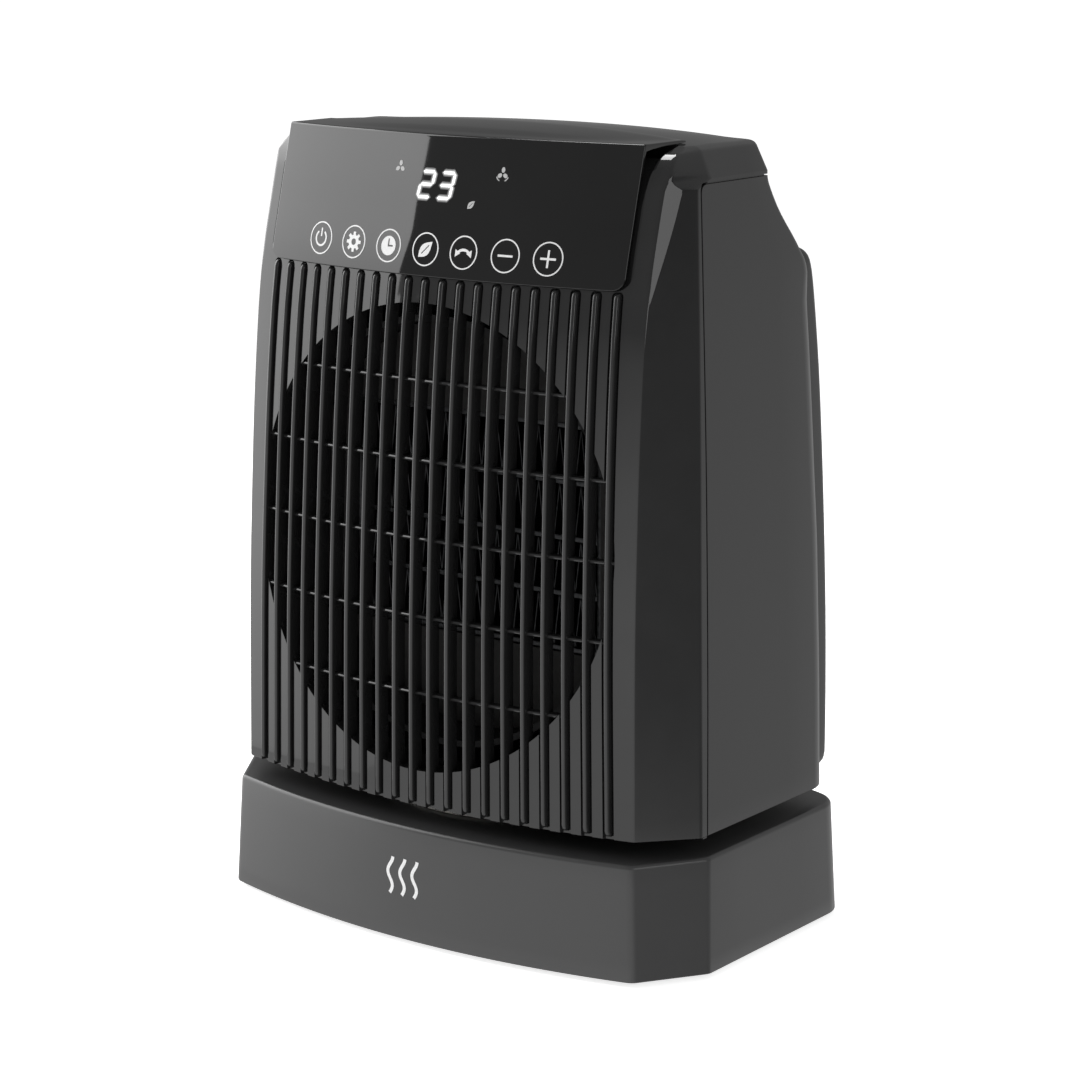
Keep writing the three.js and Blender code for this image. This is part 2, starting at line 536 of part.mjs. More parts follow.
function filterRing(z) {
  const w = 90, steps = Array.from({ length: 9 }, (_, i) => -w + w * i / 4);
  const face = (x, off) => [x, rearDepth(z) + off - sag(x), z];
  return [...steps.map((x) => face(x, 1.2)), ...steps.reverse().map((x) => face(x, 3.6))];
}
add('dust_filter', loft([70, 112, 180, 248].map(filterRing)), INNER);

// ---------------------------------------------------------------- air path
function ringY(profile, segments, x, z) {
  const g = turned(profile, segments);
  g.rotateX(-Math.PI / 2);
  g.translate(x, 0, z);
  return outward(g);
}
const ductWall = [[DUCT.rIn, DUCT.y0], [DUCT.rOut, DUCT.y0], [DUCT.rOut, DUCT.y1], [DUCT.rIn, DUCT.y1]];
add('air_duct', ringY(ductWall, 48, 0, FAN.z), INNER);
function standUp(g, z) {
  g.rotateX(Math.PI / 2);
  g.translate(0, 0, z);
  return outward(g);
}
add('heater_frame', standUp(plate(circle(HEATER.r, 48), -HEATER.y1, -HEATER.y0,
  [rect(HEATER.w, HEATER.h).reverse()]), FAN.z), HEATPROOF);
function ptcCore() {
  const w = HEATER.w - 0.6, h = HEATER.h - 0.6, slots = [];
  const rowH = (h - 2 * (HEATER.rows + 1)) / HEATER.rows, pitch = (w - 3) / HEATER.cols;
  for (let r = 0; r < HEATER.rows; r++) {
    for (let c = 0; c < HEATER.cols; c++) {
      const x0 = -w / 2 + 2 + pitch * c, z0 = FAN.z - h / 2 + 2 + r * (rowH + 2);
      slots.push(box(x0, x0 + pitch - 1, HEATER.y0 - 5, HEATER.y1 + 5, z0, z0 + rowH));
    }
  }
  const block = box(-w / 2, w / 2, HEATER.y0 + 1, HEATER.y1 - 1, FAN.z - h / 2, FAN.z + h / 2);
  return cut(block, ...slots);
}
add('ptc_core', ptcCore(), ALU);
add('thermal_cutout', standUp(plate(circle(7, 16, 0, 64), -HEATER.y1 - 6, -HEATER.y1 - GAP), FAN.z), STEEL);

// ---------------------------------------------------------------- fan
const fanGroup = new THREE.Group();
fanGroup.position.set(0, 0, FAN.z);
root.add(fanGroup);
function blade(i) {
  const rows = [17, 32, 48, 64, FAN.tipR];
  const yMid = (FAN.y0 + FAN.y1) / 2;
  const g = loft(rows.map((r, j) => {
    const pitch = THREE.MathUtils.degToRad(52 - 7 * j), chord = 25 + 6.5 * j;
    const rise = Math.min((FAN.y1 - FAN.y0) / 2 - 1.4, chord / 2 * Math.sin(pitch));
    const run = chord / 2 * Math.cos(pitch);
    return [[-run, -rise], [0, -1.6], [run, rise], [0, 1.0]].map(([u, v], k) => {
      const t = k === 0 || k === 2 ? 0.5 : 0;
      const a = u / r;
      return [r * Math.sin(a), yMid + v + (k === 2 ? t : -t), r * Math.cos(a)];
    });
  }));
  g.rotateY(2 * Math.PI * i / FAN.blades);
  return g;
}
function impeller() {
  const hub = ringY([[4.2, FAN.y0], [FAN.hubR - 2, FAN.y0], [FAN.hubR, FAN.y0 + 2], [FAN.hubR, FAN.y1],
    [FAN.hubR - 2, FAN.y1], [FAN.hubR - 2, FAN.y0 + 4], [9, FAN.y0 + 4], [9, FAN.y1 - 2], [4.2, FAN.y1 - 2]],
  28, 0, 0);
  return join(hub, ...Array.from({ length: FAN.blades }, (_, i) => blade(i)));
}
add('fan_impeller', impeller(), INNER, fanGroup);
const shaft = [[0, -3], [2.4, -3], [2.4, 0.6], [3.9, 0.6], [3.9, 34], [3.2, 34], [3.2, 59], [0, 59]];
add('fan_shaft', ringY(shaft, 20, 0, 0), STEEL, fanGroup);
add('fan_nut', ringY([[3.1, -2.4], [7, -2.4], [7, 0.3], [3.1, 0.3]], 6, 0, 0), STEEL, fanGroup);

function motorBracket() {
  const hub = circle(25, 36), bore = circle(10, 20).reverse();
  const ring = plate(circle(DUCT.rOut, 48), 32.3, 37, [circle(DUCT.rIn - 1, 48).reverse()]);
  const disc = plate(hub, 32.3, 37, [bore]);
  const arms = [90, 210, 330].map((deg) => {
    const g = box(22, DUCT.rIn, -4.5, 4.5, 32.3, 37);
    g.rotateZ(THREE.MathUtils.degToRad(deg));
    return g;
  });
  const g = join(ring, disc, ...arms);
  g.rotateX(-Math.PI / 2);
  g.translate(0, 0, FAN.z);
  return g;
}
add('motor_bracket', motorBracket(), INNER);
const motorCan = [[3.9, 37.3], [26, 37.3], [28, 39.5], [28, 58], [26, 60.5], [3.9, 60.5]];
add('fan_motor', ringY(motorCan, 32, 0, FAN.z), STEEL);

// ---------------------------------------------------------------- power electronics above the duct
const [powerW, powerD] = BOARD_SIZE.power;
add('power_board', box(-powerW / 2, powerW / 2, -26, powerD - 26, 254, 254 + BOARD_SIZE.thick), BOARD);
add('relay_1', box(-50, -31, -18, -2, 255.9, 271), RELAY);
add('relay_2', box(-26, -7, -18, -2, 255.9, 271), RELAY);
add('mains_capacitor', box(2, 20, -18, -8, 255.9, 270), HEATPROOF);
add('tilt_switch', box(32, 46, -14, 0, 255.9, 272), INNER);
add('terminal_block', box(-48, 8, 6, 18, 255.9, 267), POM);

// ---------------------------------------------------------------- turntable under the housing
add('turntable', turned([[PIVOT.boreR, PIVOT.zEnd], [PIVOT.tubeR, PIVOT.zEnd], [PIVOT.tubeR, PIVOT.zSkirt],
  [PIVOT.skirtR, PIVOT.zSkirt], [PIVOT.skirtR, BODY.z0 + 0.7], [PIVOT.boreR, BODY.z0 + 0.7]], 64), INNER);
const ringBore = PIVOT.tubeR + GAP;
add('retaining_ring', turned([[ringBore, 42.2], [31, 42.2], [31, 45.6], [ringBore, 45.6]], 40), POM);
function sectorGear() {
  const tooth = gearOutline(GEAR.wheel, Math.PI / 2, 0.7, 1.25, GEAR.backlash);
  const span = 8, pts = [];
  for (let k = -span; k <= span; k++) pts.push(...tooth(k));
  const rim = GEAR.module * GEAR.wheel / 2 - 1.25 * GEAR.module;
  const a0 = Math.PI / 2 - 2 * Math.PI * (span + 0.5) / GEAR.wheel;
  const a1 = Math.PI / 2 + 2 * Math.PI * (span + 0.5) / GEAR.wheel;
  const start = [rim * Math.cos(a0), rim * Math.sin(a0)], end = [rim * Math.cos(a1), rim * Math.sin(a1)];
  const hub = [];
  for (let i = 0; i <= 24; i++) {
    const a = a1 + 0.25 + (2 * Math.PI - (a1 - a0) - 0.5) * i / 24;
    hub.push([26 * Math.cos(a), 26 * Math.sin(a)]);
  }
  return plate([start, ...pts, end, ...hub], GEAR.z0, GEAR.z1, [circle(ringBore, 40).reverse()]);
}
add('sector_gear', sectorGear(), POM);

export default root;
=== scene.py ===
import json
from math import asin, atan2, cos, pi, radians, sin, sqrt

import bmesh
import bpy
from mathutils import Matrix, Vector
from mathutils.geometry import tessellate_polygon


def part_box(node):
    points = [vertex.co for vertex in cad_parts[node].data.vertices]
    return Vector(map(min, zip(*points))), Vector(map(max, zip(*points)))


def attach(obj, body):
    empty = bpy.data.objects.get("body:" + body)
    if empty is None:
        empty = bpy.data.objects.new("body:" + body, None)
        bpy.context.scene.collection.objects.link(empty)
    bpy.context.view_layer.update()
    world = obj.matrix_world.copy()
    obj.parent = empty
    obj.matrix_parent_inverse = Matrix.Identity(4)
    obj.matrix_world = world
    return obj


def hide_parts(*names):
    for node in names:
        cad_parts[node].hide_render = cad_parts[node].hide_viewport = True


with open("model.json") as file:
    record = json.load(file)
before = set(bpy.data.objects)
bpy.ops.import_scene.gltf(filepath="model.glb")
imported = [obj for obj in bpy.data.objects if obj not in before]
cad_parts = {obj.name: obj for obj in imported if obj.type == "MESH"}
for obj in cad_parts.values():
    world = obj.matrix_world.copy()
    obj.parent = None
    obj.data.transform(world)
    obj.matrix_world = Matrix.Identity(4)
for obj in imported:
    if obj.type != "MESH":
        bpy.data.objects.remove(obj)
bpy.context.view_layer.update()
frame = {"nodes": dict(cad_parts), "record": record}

MM = 0.001  # the shapes below are in millimetres
NODES = frame["nodes"]


def box_mm(node):
    """Lowest and highest corner of a frame node, in millimetres."""
    lo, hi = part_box(node)
    return lo / MM, hi / MM


# ---------------- places taken from the frame
BASE_LO, BASE_HI = box_mm("base_shell")
PANEL_LO, PANEL_HI = box_mm("control_panel")
CORE_LO, CORE_HI = box_mm("ptc_core")
SKIRT_LO, SKIRT_HI = box_mm("turntable")
DUCT_LO, DUCT_HI = box_mm("air_duct")

WALL = 2.5  # wall of the mouldings
TONGUE = {"outer": 1.3, "inner": 2.1, "root": 1.2, "reach": 1.4}
PLAN_R = 375  # plan radius of the bowed front and rear faces
BODY_Z0 = box_mm("front_shell")[0].z
BODY_TOP = 316.8  # height of the rim round the domed top
ROUND_FROM = 314.9  # where the rounding of that rim starts
SHOULDER = {"from": 301, "rise": 15.8, "back": 16}
DOME = {"top": 320.4, "middle": -5, "along": 0.0012, "across": 0.00036}
PAST = 140  # a cutting tool reaches this far, past every side
SEAM_Z = 304.2  # height of the parting line under the lid
SEAM_HALF = 0.38  # half the width of the parting line
SPINDLE_HOLE = -SKIRT_LO.x / 4  # radius of the hole for the pivot in the housing's floor
OUTLET_Z = (DUCT_LO.z + DUCT_HI.z) / 2
OUTLET_RX, OUTLET_RZ = 88.5, 92.3
COLLAR = {"wider": 1.8, "gap": 0.8}
WINDOW = (-78, 78, -90, -20, 269, 309)  # opening behind the panel
INTAKE = (-84, 84, 30, 90, 78, 250)  # opening behind the rear cover
FLOOR = {"z0": 57, "z1": 59.4, "overlap": 0.6, "front": -24}
RIB = {"count": 21, "low": 8.8, "high": 8.4, "half": 1.15, "proud": 1.7, "deep": 4.4, "z0": 57.6, "z1": 264.7,
       "nose": 1.05, "end": 2.4}
SLOT = {"side": 1.1, "end": 0.8, "open": 4.0, "deep": 2.0}
BAR = {"count": 5, "pitch": 30.8, "rise": 0.8, "half": 1.0, "front": 0.3, "back": 4.3}
PANEL = {"half": PANEL_HI.x, "z0": PANEL_LO.z, "front_top": 318.9, "proud": 1.8, "thick": 1.4,
         "corner": 5.0, "rear": -3.0, "edge": 0.5}
BED = {"side": 2.0, "low": 0.4, "deep": 1.5}
COVER = {"plan_r": 557, "gap": 0.95, "corner": 3.2}
VENT = {"rows": 12, "z0": 76, "pitch": 15, "high": 7, "x": 46, "half": 42}
BASE = {"half": 117.5, "front_half": 99.7, "depth": 77.3, "side": -36.6, "flare": 2.1, "rear_r": 15,
        "edge": 46.6, "round": 1.8}


# ---------------- profile laws of the housing
def table(rows):
    """Piecewise linear law through the rows."""
    def law(z):
        if z <= rows[0][0]:
            return rows[0][1]
        for (a, va), (b, vb) in zip(rows, rows[1:]):
            if z <= b:
                return va + (vb - va) * (z - a) / (b - a)
        return rows[-1][1]
    return law


def smooth(rows):
    """Smooth law through the rows that never overshoots them."""
    slopes = [(vb - va) / (b - a) for (a, va), (b, vb) in zip(rows, rows[1:])]
    tangents = [slopes[0]]
    for left, right in zip(slopes, slopes[1:]):
        tangents.append(0.0 if left * right <= 0 else 2 * left * right / (left + right))
    tangents.append(slopes[-1])

    def law(z):
        z = min(max(z, rows[0][0]), rows[-1][0])
        for i, ((a, va), (b, vb)) in enumerate(zip(rows, rows[1:])):
            if z <= b:
                h = b - a
                t = (z - a) / h
                rise = 3 * t * t - 2 * t * t * t
                ease_in = (t - 2 * t * t + t * t * t) * h * tangents[i]
                ease_out = (t * t * t - t * t) * h * tangents[i + 1]
                return va + (vb - va) * rise + ease_in + ease_out
        return rows[-1][1]
    return law


def sag(x, radius=PLAN_R):
    """How far a bowed face has fallen back at x."""
    return radius - sqrt(radius * radius - x * x)


front_depth = smooth([(56, 72.5), (120, 71.7), (190, 68.7), (240, 64.8), (266, 61.3), (292, 55.1),
                      (320, 47.9)])
front_half = table([(56, 98), (302.5, 95.2), (304.2, 95.5), (305.9, 95.9), (307.6, 96.4), (309.5, 96.2),
                    (312.5, 95.2), (316.8, 93.6)])
side_half = table([(56, 115.8), (305.85, 103), (316.8, 95.5)])
side_edge = smooth([(56, -39.5), (148, -34.9), (216, -31.6), (262, -29.8), (302.5, -28.6)])
side_edge_top = table([(302.5, -28.6), (305.85, -20), (316.8, -16.3)])
rear_depth = smooth([(56, 70), (112, 71.2), (150, 71.2), (180, 70.2), (262, 65.6), (268, 63.2), (273, 58.6),
                     (280, 52), (288, 44.6), (296, 38.8), (304, 35.2), (316.8, 35.4)])
rear_radius = smooth([(56, 14), (250, 14), (272, 6), (280, 4), (318, 3.2)])
seam_y = smooth([(56, -35.5), (109, -32.4), (163, -29.9), (214, -28.1), (301, -26.2)])
cover_depth = smooth([(57.5, 75.2), (58.6, 77.2), (60.5, 78.6), (64, 79.2), (110, 79.1), (142, 78.7),
                      (215, 76.8), (250, 74.2), (262, 72.6), (267, 71.2), (269, 70.3), (270.6, 69),
                      (271.6, 67.6), (272, 66.2)])
cover_half = smooth([(57.5, 100.5), (58.6, 102.4), (60.5, 103.8), (64, 104.4), (262, 97), (267, 96.6),
                     (269, 96), (270.6, 95), (271.6, 93.8), (272, 92.5)])


# the chamfer between face and side; above "top" its rear edge climbs forwards to the apex
CHAMFER = {"top": 302.5, "apex": 308, "run": (8, 11.4)}
# a long triangular facet along its front edge: share of the chamfer's width, and how far it turns forwards
chamfer_share = table([(259, 0.05), (302.5, 0.53), (304.2, 0.3), (305.85, 0.14), (307.6, 0.09),
                       (309.5, 0.2)])
facet_turn = table([(255, 0), (259, 0.07), (307.6, 0.07), (309.5, 0)])


def shoulder(z):
    """How far the top of the front face has curved back at height z."""
    t = min(1.0, max(0.0, (z - SHOULDER["from"]) / SHOULDER["rise"]))
    return SHOULDER["back"] * (1 - sqrt(1 - t * t))


def crown(x, y):
    """Height of the domed top."""
    return DOME["top"] - DOME["along"] * (y - DOME["middle"]) ** 2 - DOME["across"] * x * x


# ---------------- solids
def linked(name, data, matrix=Matrix()):
    ob = bpy.data.objects.new(name, data)
    ob.matrix_world = matrix
    bpy.context.scene.collection.objects.link(ob)
    return ob


def solid(verts, faces):
    """A loose mesh object in millimetres."""
    mesh = bpy.data.meshes.new("solid")
    mesh.from_pydata([tuple(v) for v in verts], [], faces)
    mesh.validate()
    return linked("solid", mesh)


def lofted(rings):
    """Closed solid through rings of equal length; the end rings are filled."""
    n = len(rings[0])
    verts = [p for ring in rings for p in ring]
    faces = [list(range(n))[::-1], [(len(rings) - 1) * n + i for i in range(n)]]
    for r in range(len(rings) - 1):
        for i in range(n):
            j = (i + 1) % n
            faces.append([r * n + i, r * n + j, (r + 1) * n + j, (r + 1) * n + i])
    return outward(solid(verts, faces))


def outward(ob):
    """Turn the faces out."""
    if sum(face.center.dot(face.normal) * face.area for face in ob.data.polygons) < 0:
        ob.data.flip_normals()
    return ob


def prism(outline, lo, hi, axis="z"):
    """Outline (a, b) drawn out between lo and hi along an axis."""
    place = {"x": lambda a, b, t: (t, a, b), "y": lambda a, b, t: (a, t, b),
             "z": lambda a, b, t: (a, b, t)}[axis]
    return lofted([[place(a, b, t) for a, b in outline] for t in (lo, hi)])


def block(x0, x1, y0, y1, z0, z1):
    return prism([(x0, y0), (x1, y0), (x1, y1), (x0, y1)], z0, z1)


def arc(cx, cy, r, a0, a1, steps=24):
    return [(cx + r * cos(radians(a0 + (a1 - a0) * i / steps)),
             cy + r * sin(radians(a0 + (a1 - a0) * i / steps))) for i in range(steps + 1)]


def disc(cx, cy, r, steps=40):
    return arc(cx, cy, r, 0, 360, steps)[:-1]


def turned(profile, steps):
    """Closed profile of (radius, height) turned round Z."""
    verts = []
    faces = []
    n = len(profile)
    for s in range(steps):
        a = 2 * pi * s / steps
        verts += [(r * cos(a), r * sin(a), z) for r, z in profile]
    for s in range(steps):
        for i in range(n):
            j = (i + 1) % n
            t = (s + 1) % steps
            faces.append([s * n + i, s * n + j, t * n + j, t * n + i])
    ob = solid(verts, faces)
    weld(ob)
    return outward(ob)


def weld(ob, distance=1e-4):
    bm = bmesh.new()
    bm.from_mesh(ob.data)
    bmesh.ops.remove_doubles(bm, verts=bm.verts, dist=distance)
    bmesh.ops.dissolve_degenerate(bm, edges=bm.edges, dist=distance)
    bm.to_mesh(ob.data)
    bm.free()
    return ob


def moved(ob, matrix):
    ob.data.transform(matrix)
    return ob


def turn(degrees, axis="Z"):
    return Matrix.Rotation(radians(degrees), 4, axis)


def in_plan(node):
    """Move from the origin to the middle of a node, along the ground."""
    lo, hi = box_mm(node)
    return Matrix.Translation(((lo.x + hi.x) / 2, (lo.y + hi.y) / 2, 0))


def on_base_rear(node, sunk=0.0):
    """Move from the origin to where a node stands on the base's bowed rear face, facing out."""
    lo, hi = box_mm(node)
    cx, cz = (lo.x + hi.x) / 2, (lo.z + hi.z) / 2
    place = Matrix.Translation((cx, BASE["depth"] + BASE["flare"] - sag(cx) - sunk, cz))
    return place @ Matrix.Rotation(-asin(cx / PLAN_R), 4, "Z")


def merged(*parts):
    """Several loose solids in one mesh, untouched."""
    verts = []
    faces = []
    for part in parts:
        start = len(verts)
        verts += [v.co.copy() for v in part.data.vertices]
        faces += [[start + i for i in face.vertices] for face in part.data.polygons]
        bpy.data.objects.remove(part)
    return solid(verts, faces)


def baked(ob):
    """Apply the modifiers of an object."""
    view = bpy.context.evaluated_depsgraph_get()
    mesh = bpy.data.meshes.new_from_object(ob.evaluated_get(view))
    ob.modifiers.clear()
    ob.data = mesh
    return ob


def joined(ob, tool, how="UNION"):
    """Boolean of two closed solids; the tool is used up."""
    change = ob.modifiers.new("join", "BOOLEAN")
    change.solver = "MANIFOLD"
    change.operation = how
    change.object = tool
    bpy.context.view_layer.update()
    baked(ob)
    bpy.data.objects.remove(tool)
    return ob


def carved(ob, tool):
    return joined(ob, tool, "DIFFERENCE")


def shared(ob, tool):
    return joined(ob, tool, "INTERSECT")


def bevelled(ob, width):
    change = ob.modifiers.new("bevel", "BEVEL")
    change.width = width
    change.segments = 2
    change.limit_method = "ANGLE"
    change.angle_limit = radians(30)
    bpy.context.view_layer.update()
    return baked(ob)


def piece(ob, name, body, slot=None, replaces=(), look=None):
    """Finish a solid: metres, smooth shading, body, and its own look or that of its slot."""
    ob.name = name
    ob.data.name = name
    ob.data.transform(Matrix.Scale(MM, 4))
    ob.data.shade_smooth()
    ob.data.set_sharp_from_angle(angle=radians(28))
    ob.data.materials.clear()
    ob.data.materials.append(look or LOOKS[slot])
    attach(ob, body)
    if replaces:
        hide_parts(*replaces)
    return ob


# ---------------- materials
def feed(tree, node, inputs):
    """Set inputs of a node to numbers and colours, or link them to the outputs given."""
    for name, value in inputs.items():
        if isinstance(value, bpy.types.NodeSocket):
            tree.links.new(value, node.inputs[name])
        else:
            node.inputs[name].default_value = value
    return node


def add(tree, kind, inputs):
    return feed(tree, tree.nodes.new("ShaderNode" + kind), inputs)


def graph(name):
    mat = bpy.data.materials.new(name)
    mat.use_nodes = True
    tree = mat.node_tree
    return mat, tree, tree.nodes["Principled BSDF"], add(tree, "TexCoord", {}).outputs["Object"]


def noise(tree, coords, size_mm, detail=3.0, stretch=(1, 1, 1)):
    """Noise whose cells are about size_mm across."""
    placed = add(tree, "Mapping", {"Scale": stretch, "Vector": coords}).outputs["Vector"]
    tex = add(tree, "TexNoise", {"Scale": 1 / (size_mm * MM), "Detail": detail, "Vector": placed})
    return tex.outputs["Fac"]


def spread(tree, value, low, high, from_low=0.3, from_high=0.7):
    """Map a value to a range, whose ends are numbers or values themselves."""
    return add(tree, "MapRange", {"From Min": from_low, "From Max": from_high, "To Min": low, "To Max": high,
                                  "Value": value}).outputs["Result"]


def combined(tree, how, first, second):
    node = add(tree, "Math", {0: first, 1: second})
    node.operation = how
    return node.outputs[0]


def tint(tree, value, dark, light, *span):
    """Mix two colours by a noise value."""
    node = add(tree, "Mix", {})
    node.data_type = "RGBA"
    feed(tree, node, {"A": (*dark, 1), "B": (*light, 1), "Factor": spread(tree, value, 0, 1, *span)})
    return node.outputs["Result"]


def bump(tree, height, depth_mm, strength=1.0):
    node = add(tree, "Bump", {"Strength": strength, "Distance": depth_mm * MM, "Height": height})
    return node.outputs["Normal"]


def grey(v):
    return (v, v, v * 1.01)


def moulded(name, dark, light, rough, grain_mm, grain_depth, mottle_mm=14):
    """Moulded plastic: a fine surface grain, faint mottling, and gloss that varies a little."""
    mat, tree, shader, coords = graph(name)
    grain = noise(tree, coords, grain_mm, 2.0)
    mottle = noise(tree, coords, mottle_mm, 4.0)
    feed(tree, shader, {"Base Color": tint(tree, mottle, dark, light),
                        "Roughness": spread(tree, mottle, *rough), "Normal": bump(tree, grain, grain_depth)})
    return mat


def metal(name, dark, light, rough, stretch=(1, 1, 12), size_mm=3.0):
    """Rolled or turned metal with fine drawn lines."""
    mat, tree, shader, coords = graph(name)
    lines = noise(tree, coords, size_mm, 5.0, stretch)
    feed(tree, shader, {"Base Color": tint(tree, lines, dark, light), "Metallic": 1.0,
                        "Roughness": spread(tree, lines, *rough), "Normal": bump(tree, lines, 0.02, 0.6)})
    return mat


def woven(name, dark, light, pitch_mm):
    """Fine net of crossing threads."""
    mat, tree, shader, coords = graph(name)
    threads = []
    for axis in ("X", "Z"):
        wave = add(tree, "TexWave", {"Scale": 0.314 / (pitch_mm * MM), "Vector": coords})
        wave.bands_direction = axis
        threads.append(wave.outputs["Fac"])
    top = combined(tree, "MAXIMUM", *threads)
    feed(tree, shader, {"Base Color": tint(tree, top, dark, light, 0.45, 0.95), "Roughness": 0.8,
                        "Normal": bump(tree, top, 0.4)})
    return mat


def circuit(name):
    """Solder mask over copper tracks."""
    mat, tree, shader, coords = graph(name)
    tracks = add(tree, "TexBrick", {"Scale": 120, "Mortar Size": 0.06, "Mortar": (0.03, 0.19, 0.07, 1),
                                    "Color1": (0.010, 0.085, 0.030, 1), "Color2": (0.012, 0.100, 0.036, 1),
                                    "Vector": coords})
    feed(tree, shader, {"Base Color": tracks.outputs["Color"], "Roughness": 0.4,
                        "Normal": bump(tree, tracks.outputs["Fac"], 0.05)})
    return mat


def printed(name, colour, glow):
    """Pale print or backlit mark, with a faint unevenness in its ink; on the prints the glow is painted light
    that makes them read brighter.
    """
    mat, tree, shader, coords = graph(name)
    pale = tuple(min(1.0, c * 1.04) for c in colour)
    deep = tuple(c * 0.93 for c in colour)
    paint = tint(tree, noise(tree, coords, 0.8, 3.0), deep, pale)
    feed(tree, shader, {"Base Color": paint, "Roughness": 0.5, "Emission Color": paint,
                        "Emission Strength": glow})
    return mat


MOULDED = [
    ("shell_plastic", grey(0.0155), grey(0.018), (0.025, 0.045), 0.9, 0.0006),
    ("base_plastic", grey(0.0445), grey(0.0465), (0.290, 0.302), 0.5, 0.006),
    ("panel_gloss", grey(0.0040), grey(0.0055), (0.02, 0.045), 6.0, 0.002, 40),
    ("switch_black", grey(0.010), grey(0.014), (0.20, 0.28), 0.4, 0.01),
    ("inner_plastic", grey(0.0025), grey(0.004), (0.5, 0.65), 0.5, 0.02),
    ("foot_rubber", grey(0.008), grey(0.013), (0.75, 0.9), 0.35, 0.06, 3),
    ("heatproof_plastic", (0.004, 0.0036, 0.003), (0.008, 0.007, 0.006), (0.6, 0.75), 0.7, 0.03, 2),
    ("white_acetal", (0.74, 0.72, 0.66), (0.80, 0.78, 0.72), (0.35, 0.5), 0.6, 0.01),
    ("relay_blue", (0.010, 0.07, 0.24), (0.013, 0.085, 0.28), (0.4, 0.55), 0.5, 0.02),
]
LOOKS = {row[0]: moulded(*row) for row in MOULDED}
LOOKS["steel"] = metal("steel", (0.42, 0.42, 0.43), (0.58, 0.58, 0.59), (0.25, 0.42))
# The fins' near-black colour is painted shade: the dark inside of the outlet, where little light reaches,
# drawn into the aluminium's colour.
LOOKS["heater_aluminium"] = metal("heater_aluminium", (0.030, 0.031, 0.032), (0.075, 0.076, 0.078),
                                  (0.3, 0.5), (1, 8, 1), 2.0)
LOOKS["filter_mesh"] = woven("filter_mesh", grey(0.003), grey(0.02), 1.6)
LOOKS["circuit_board"] = circuit("circuit_board")
LOOKS["display_light"] = printed("display_light", (1.0, 1.0, 1.0), 1.0)
SATIN = moulded("rear_plastic", grey(0.0195), grey(0.0205), (0.293, 0.305), 0.45, 0.012)
GLOW_IN = printed("display_glow_inner", (0.24, 0.24, 0.24), 0.9)
GLOW_OUT = printed("display_glow_outer", (0.06, 0.06, 0.06), 0.9)
# The prints below glow a little: painted light that makes the icons, the switch legend and the base print
# read brighter, with no lamp behind them.
ICON_WITH_GLOW = printed("panel_print", (0.62, 0.62, 0.62), 0.25)
DIM_ICON_WITH_GLOW = printed("panel_print_dim", (0.42, 0.42, 0.42), 0.1)
BASE_PRINT_WITH_GLOW = printed("base_print", (0.74, 0.74, 0.74), 0.15)


def dress_frame():
    """Give each carried-over node the look of its slot."""
    for part in frame["record"]["subparts"]:
        slot = "panel_gloss" if part["node"] == "display_module" else part["material_slot"]
        for holder in NODES[part["node"]].material_slots:
            holder.material = LOOKS[slot]


# ---------------- housing envelope
def softened(before, corner, after, reach, steps, hold=0.0):
    """Points that round a corner off over reach, along both of its sides.

    A hold adds one more point that far along each side, which keeps the shading of the flats clean.
    """
    corner = Vector(corner)
    back = (Vector(before) - corner).normalized()
    on = (Vector(after) - corner).normalized()
    start, end = corner + back * reach, corner + on * reach
    out = []
    for i in range(steps + 1):
        t = i / steps
        out.append(start * (1 - t) ** 2 + corner * 2 * t * (1 - t) + end * t * t)
    return [start + back * hold] + out + [end + on * hold] if hold else out


def mirrored(half):
    """A whole outline from its right half, front middle to rear middle."""
    return half + [Vector((-p[0], p[1])) for p in half[-2:0:-1]]


def rear_corner(half_width, depth, radius, steps, rear_steps):
    """Rounded rear corner that runs tangent into the bowed rear face, and that face to its middle."""
    cx = half_width - radius
    hub = depth - PLAN_R
    cy = hub + sqrt((PLAN_R - radius) ** 2 - cx * cx)
    end = atan2(cy - hub, cx)
    out = [Vector((cx + radius * cos(end * i / steps), cy + radius * sin(end * i / steps)))
           for i in range(steps + 1)]
    last = out[-1].x
    for i in range(1, rear_steps + 1):
        x = last * (1 - i / rear_steps)
        out.append(Vector((x, depth - sag(x))))
    return out


def bowed_front(end, depth):
    """A bowed front face from its middle line up to x = end, where the corner begins."""
    return [Vector((end * i / 24, -depth + sag(end * i / 24))) for i in range(24)]


def body_half(z):
    """Right half of the housing's plan: face, chamfer, side and rounded rear corner."""
    half = front_half(z)
    depth = front_depth(z) - shoulder(z)
    wide = side_half(z)
    edge = side_edge(z) if z < CHAMFER["top"] else side_edge_top(z)
    front_corner = (half, -depth + sag(half))
    edge = max(edge, front_corner[1] + 4)
    before = (half - 6, -depth + sag(half - 6))
    climbing = CHAMFER["top"] < z < CHAMFER["apex"]
    run = Vector(CHAMFER["run"]) if climbing else Vector((wide - half, edge - front_corner[1]))
    fold = Vector(front_corner) + (run + Vector((run.y, -run.x)) * facet_turn(z)) * chamfer_share(z)
    length = run.length * chamfer_share(z)
    hold = min(0.3, 0.04 * length)
    nose = softened(before, front_corner, fold, min(1.35, 0.45 * length), 6, hold)
    crease = softened(front_corner, fold, (wide, edge), min(0.5, 0.45 * length), 3, hold)
    cheek = softened(fold, (wide, edge), (wide, edge + 20), 0.9, 4, 0.3)
    rear = rear_corner(wide, rear_depth(z), rear_radius(z), 8, 16)
    side = [cheek[-1].lerp(rear[0], i / 4) for i in range(1, 4)]
    return bowed_front(nose[0].x, depth) + nose + crease + cheek + side + rear


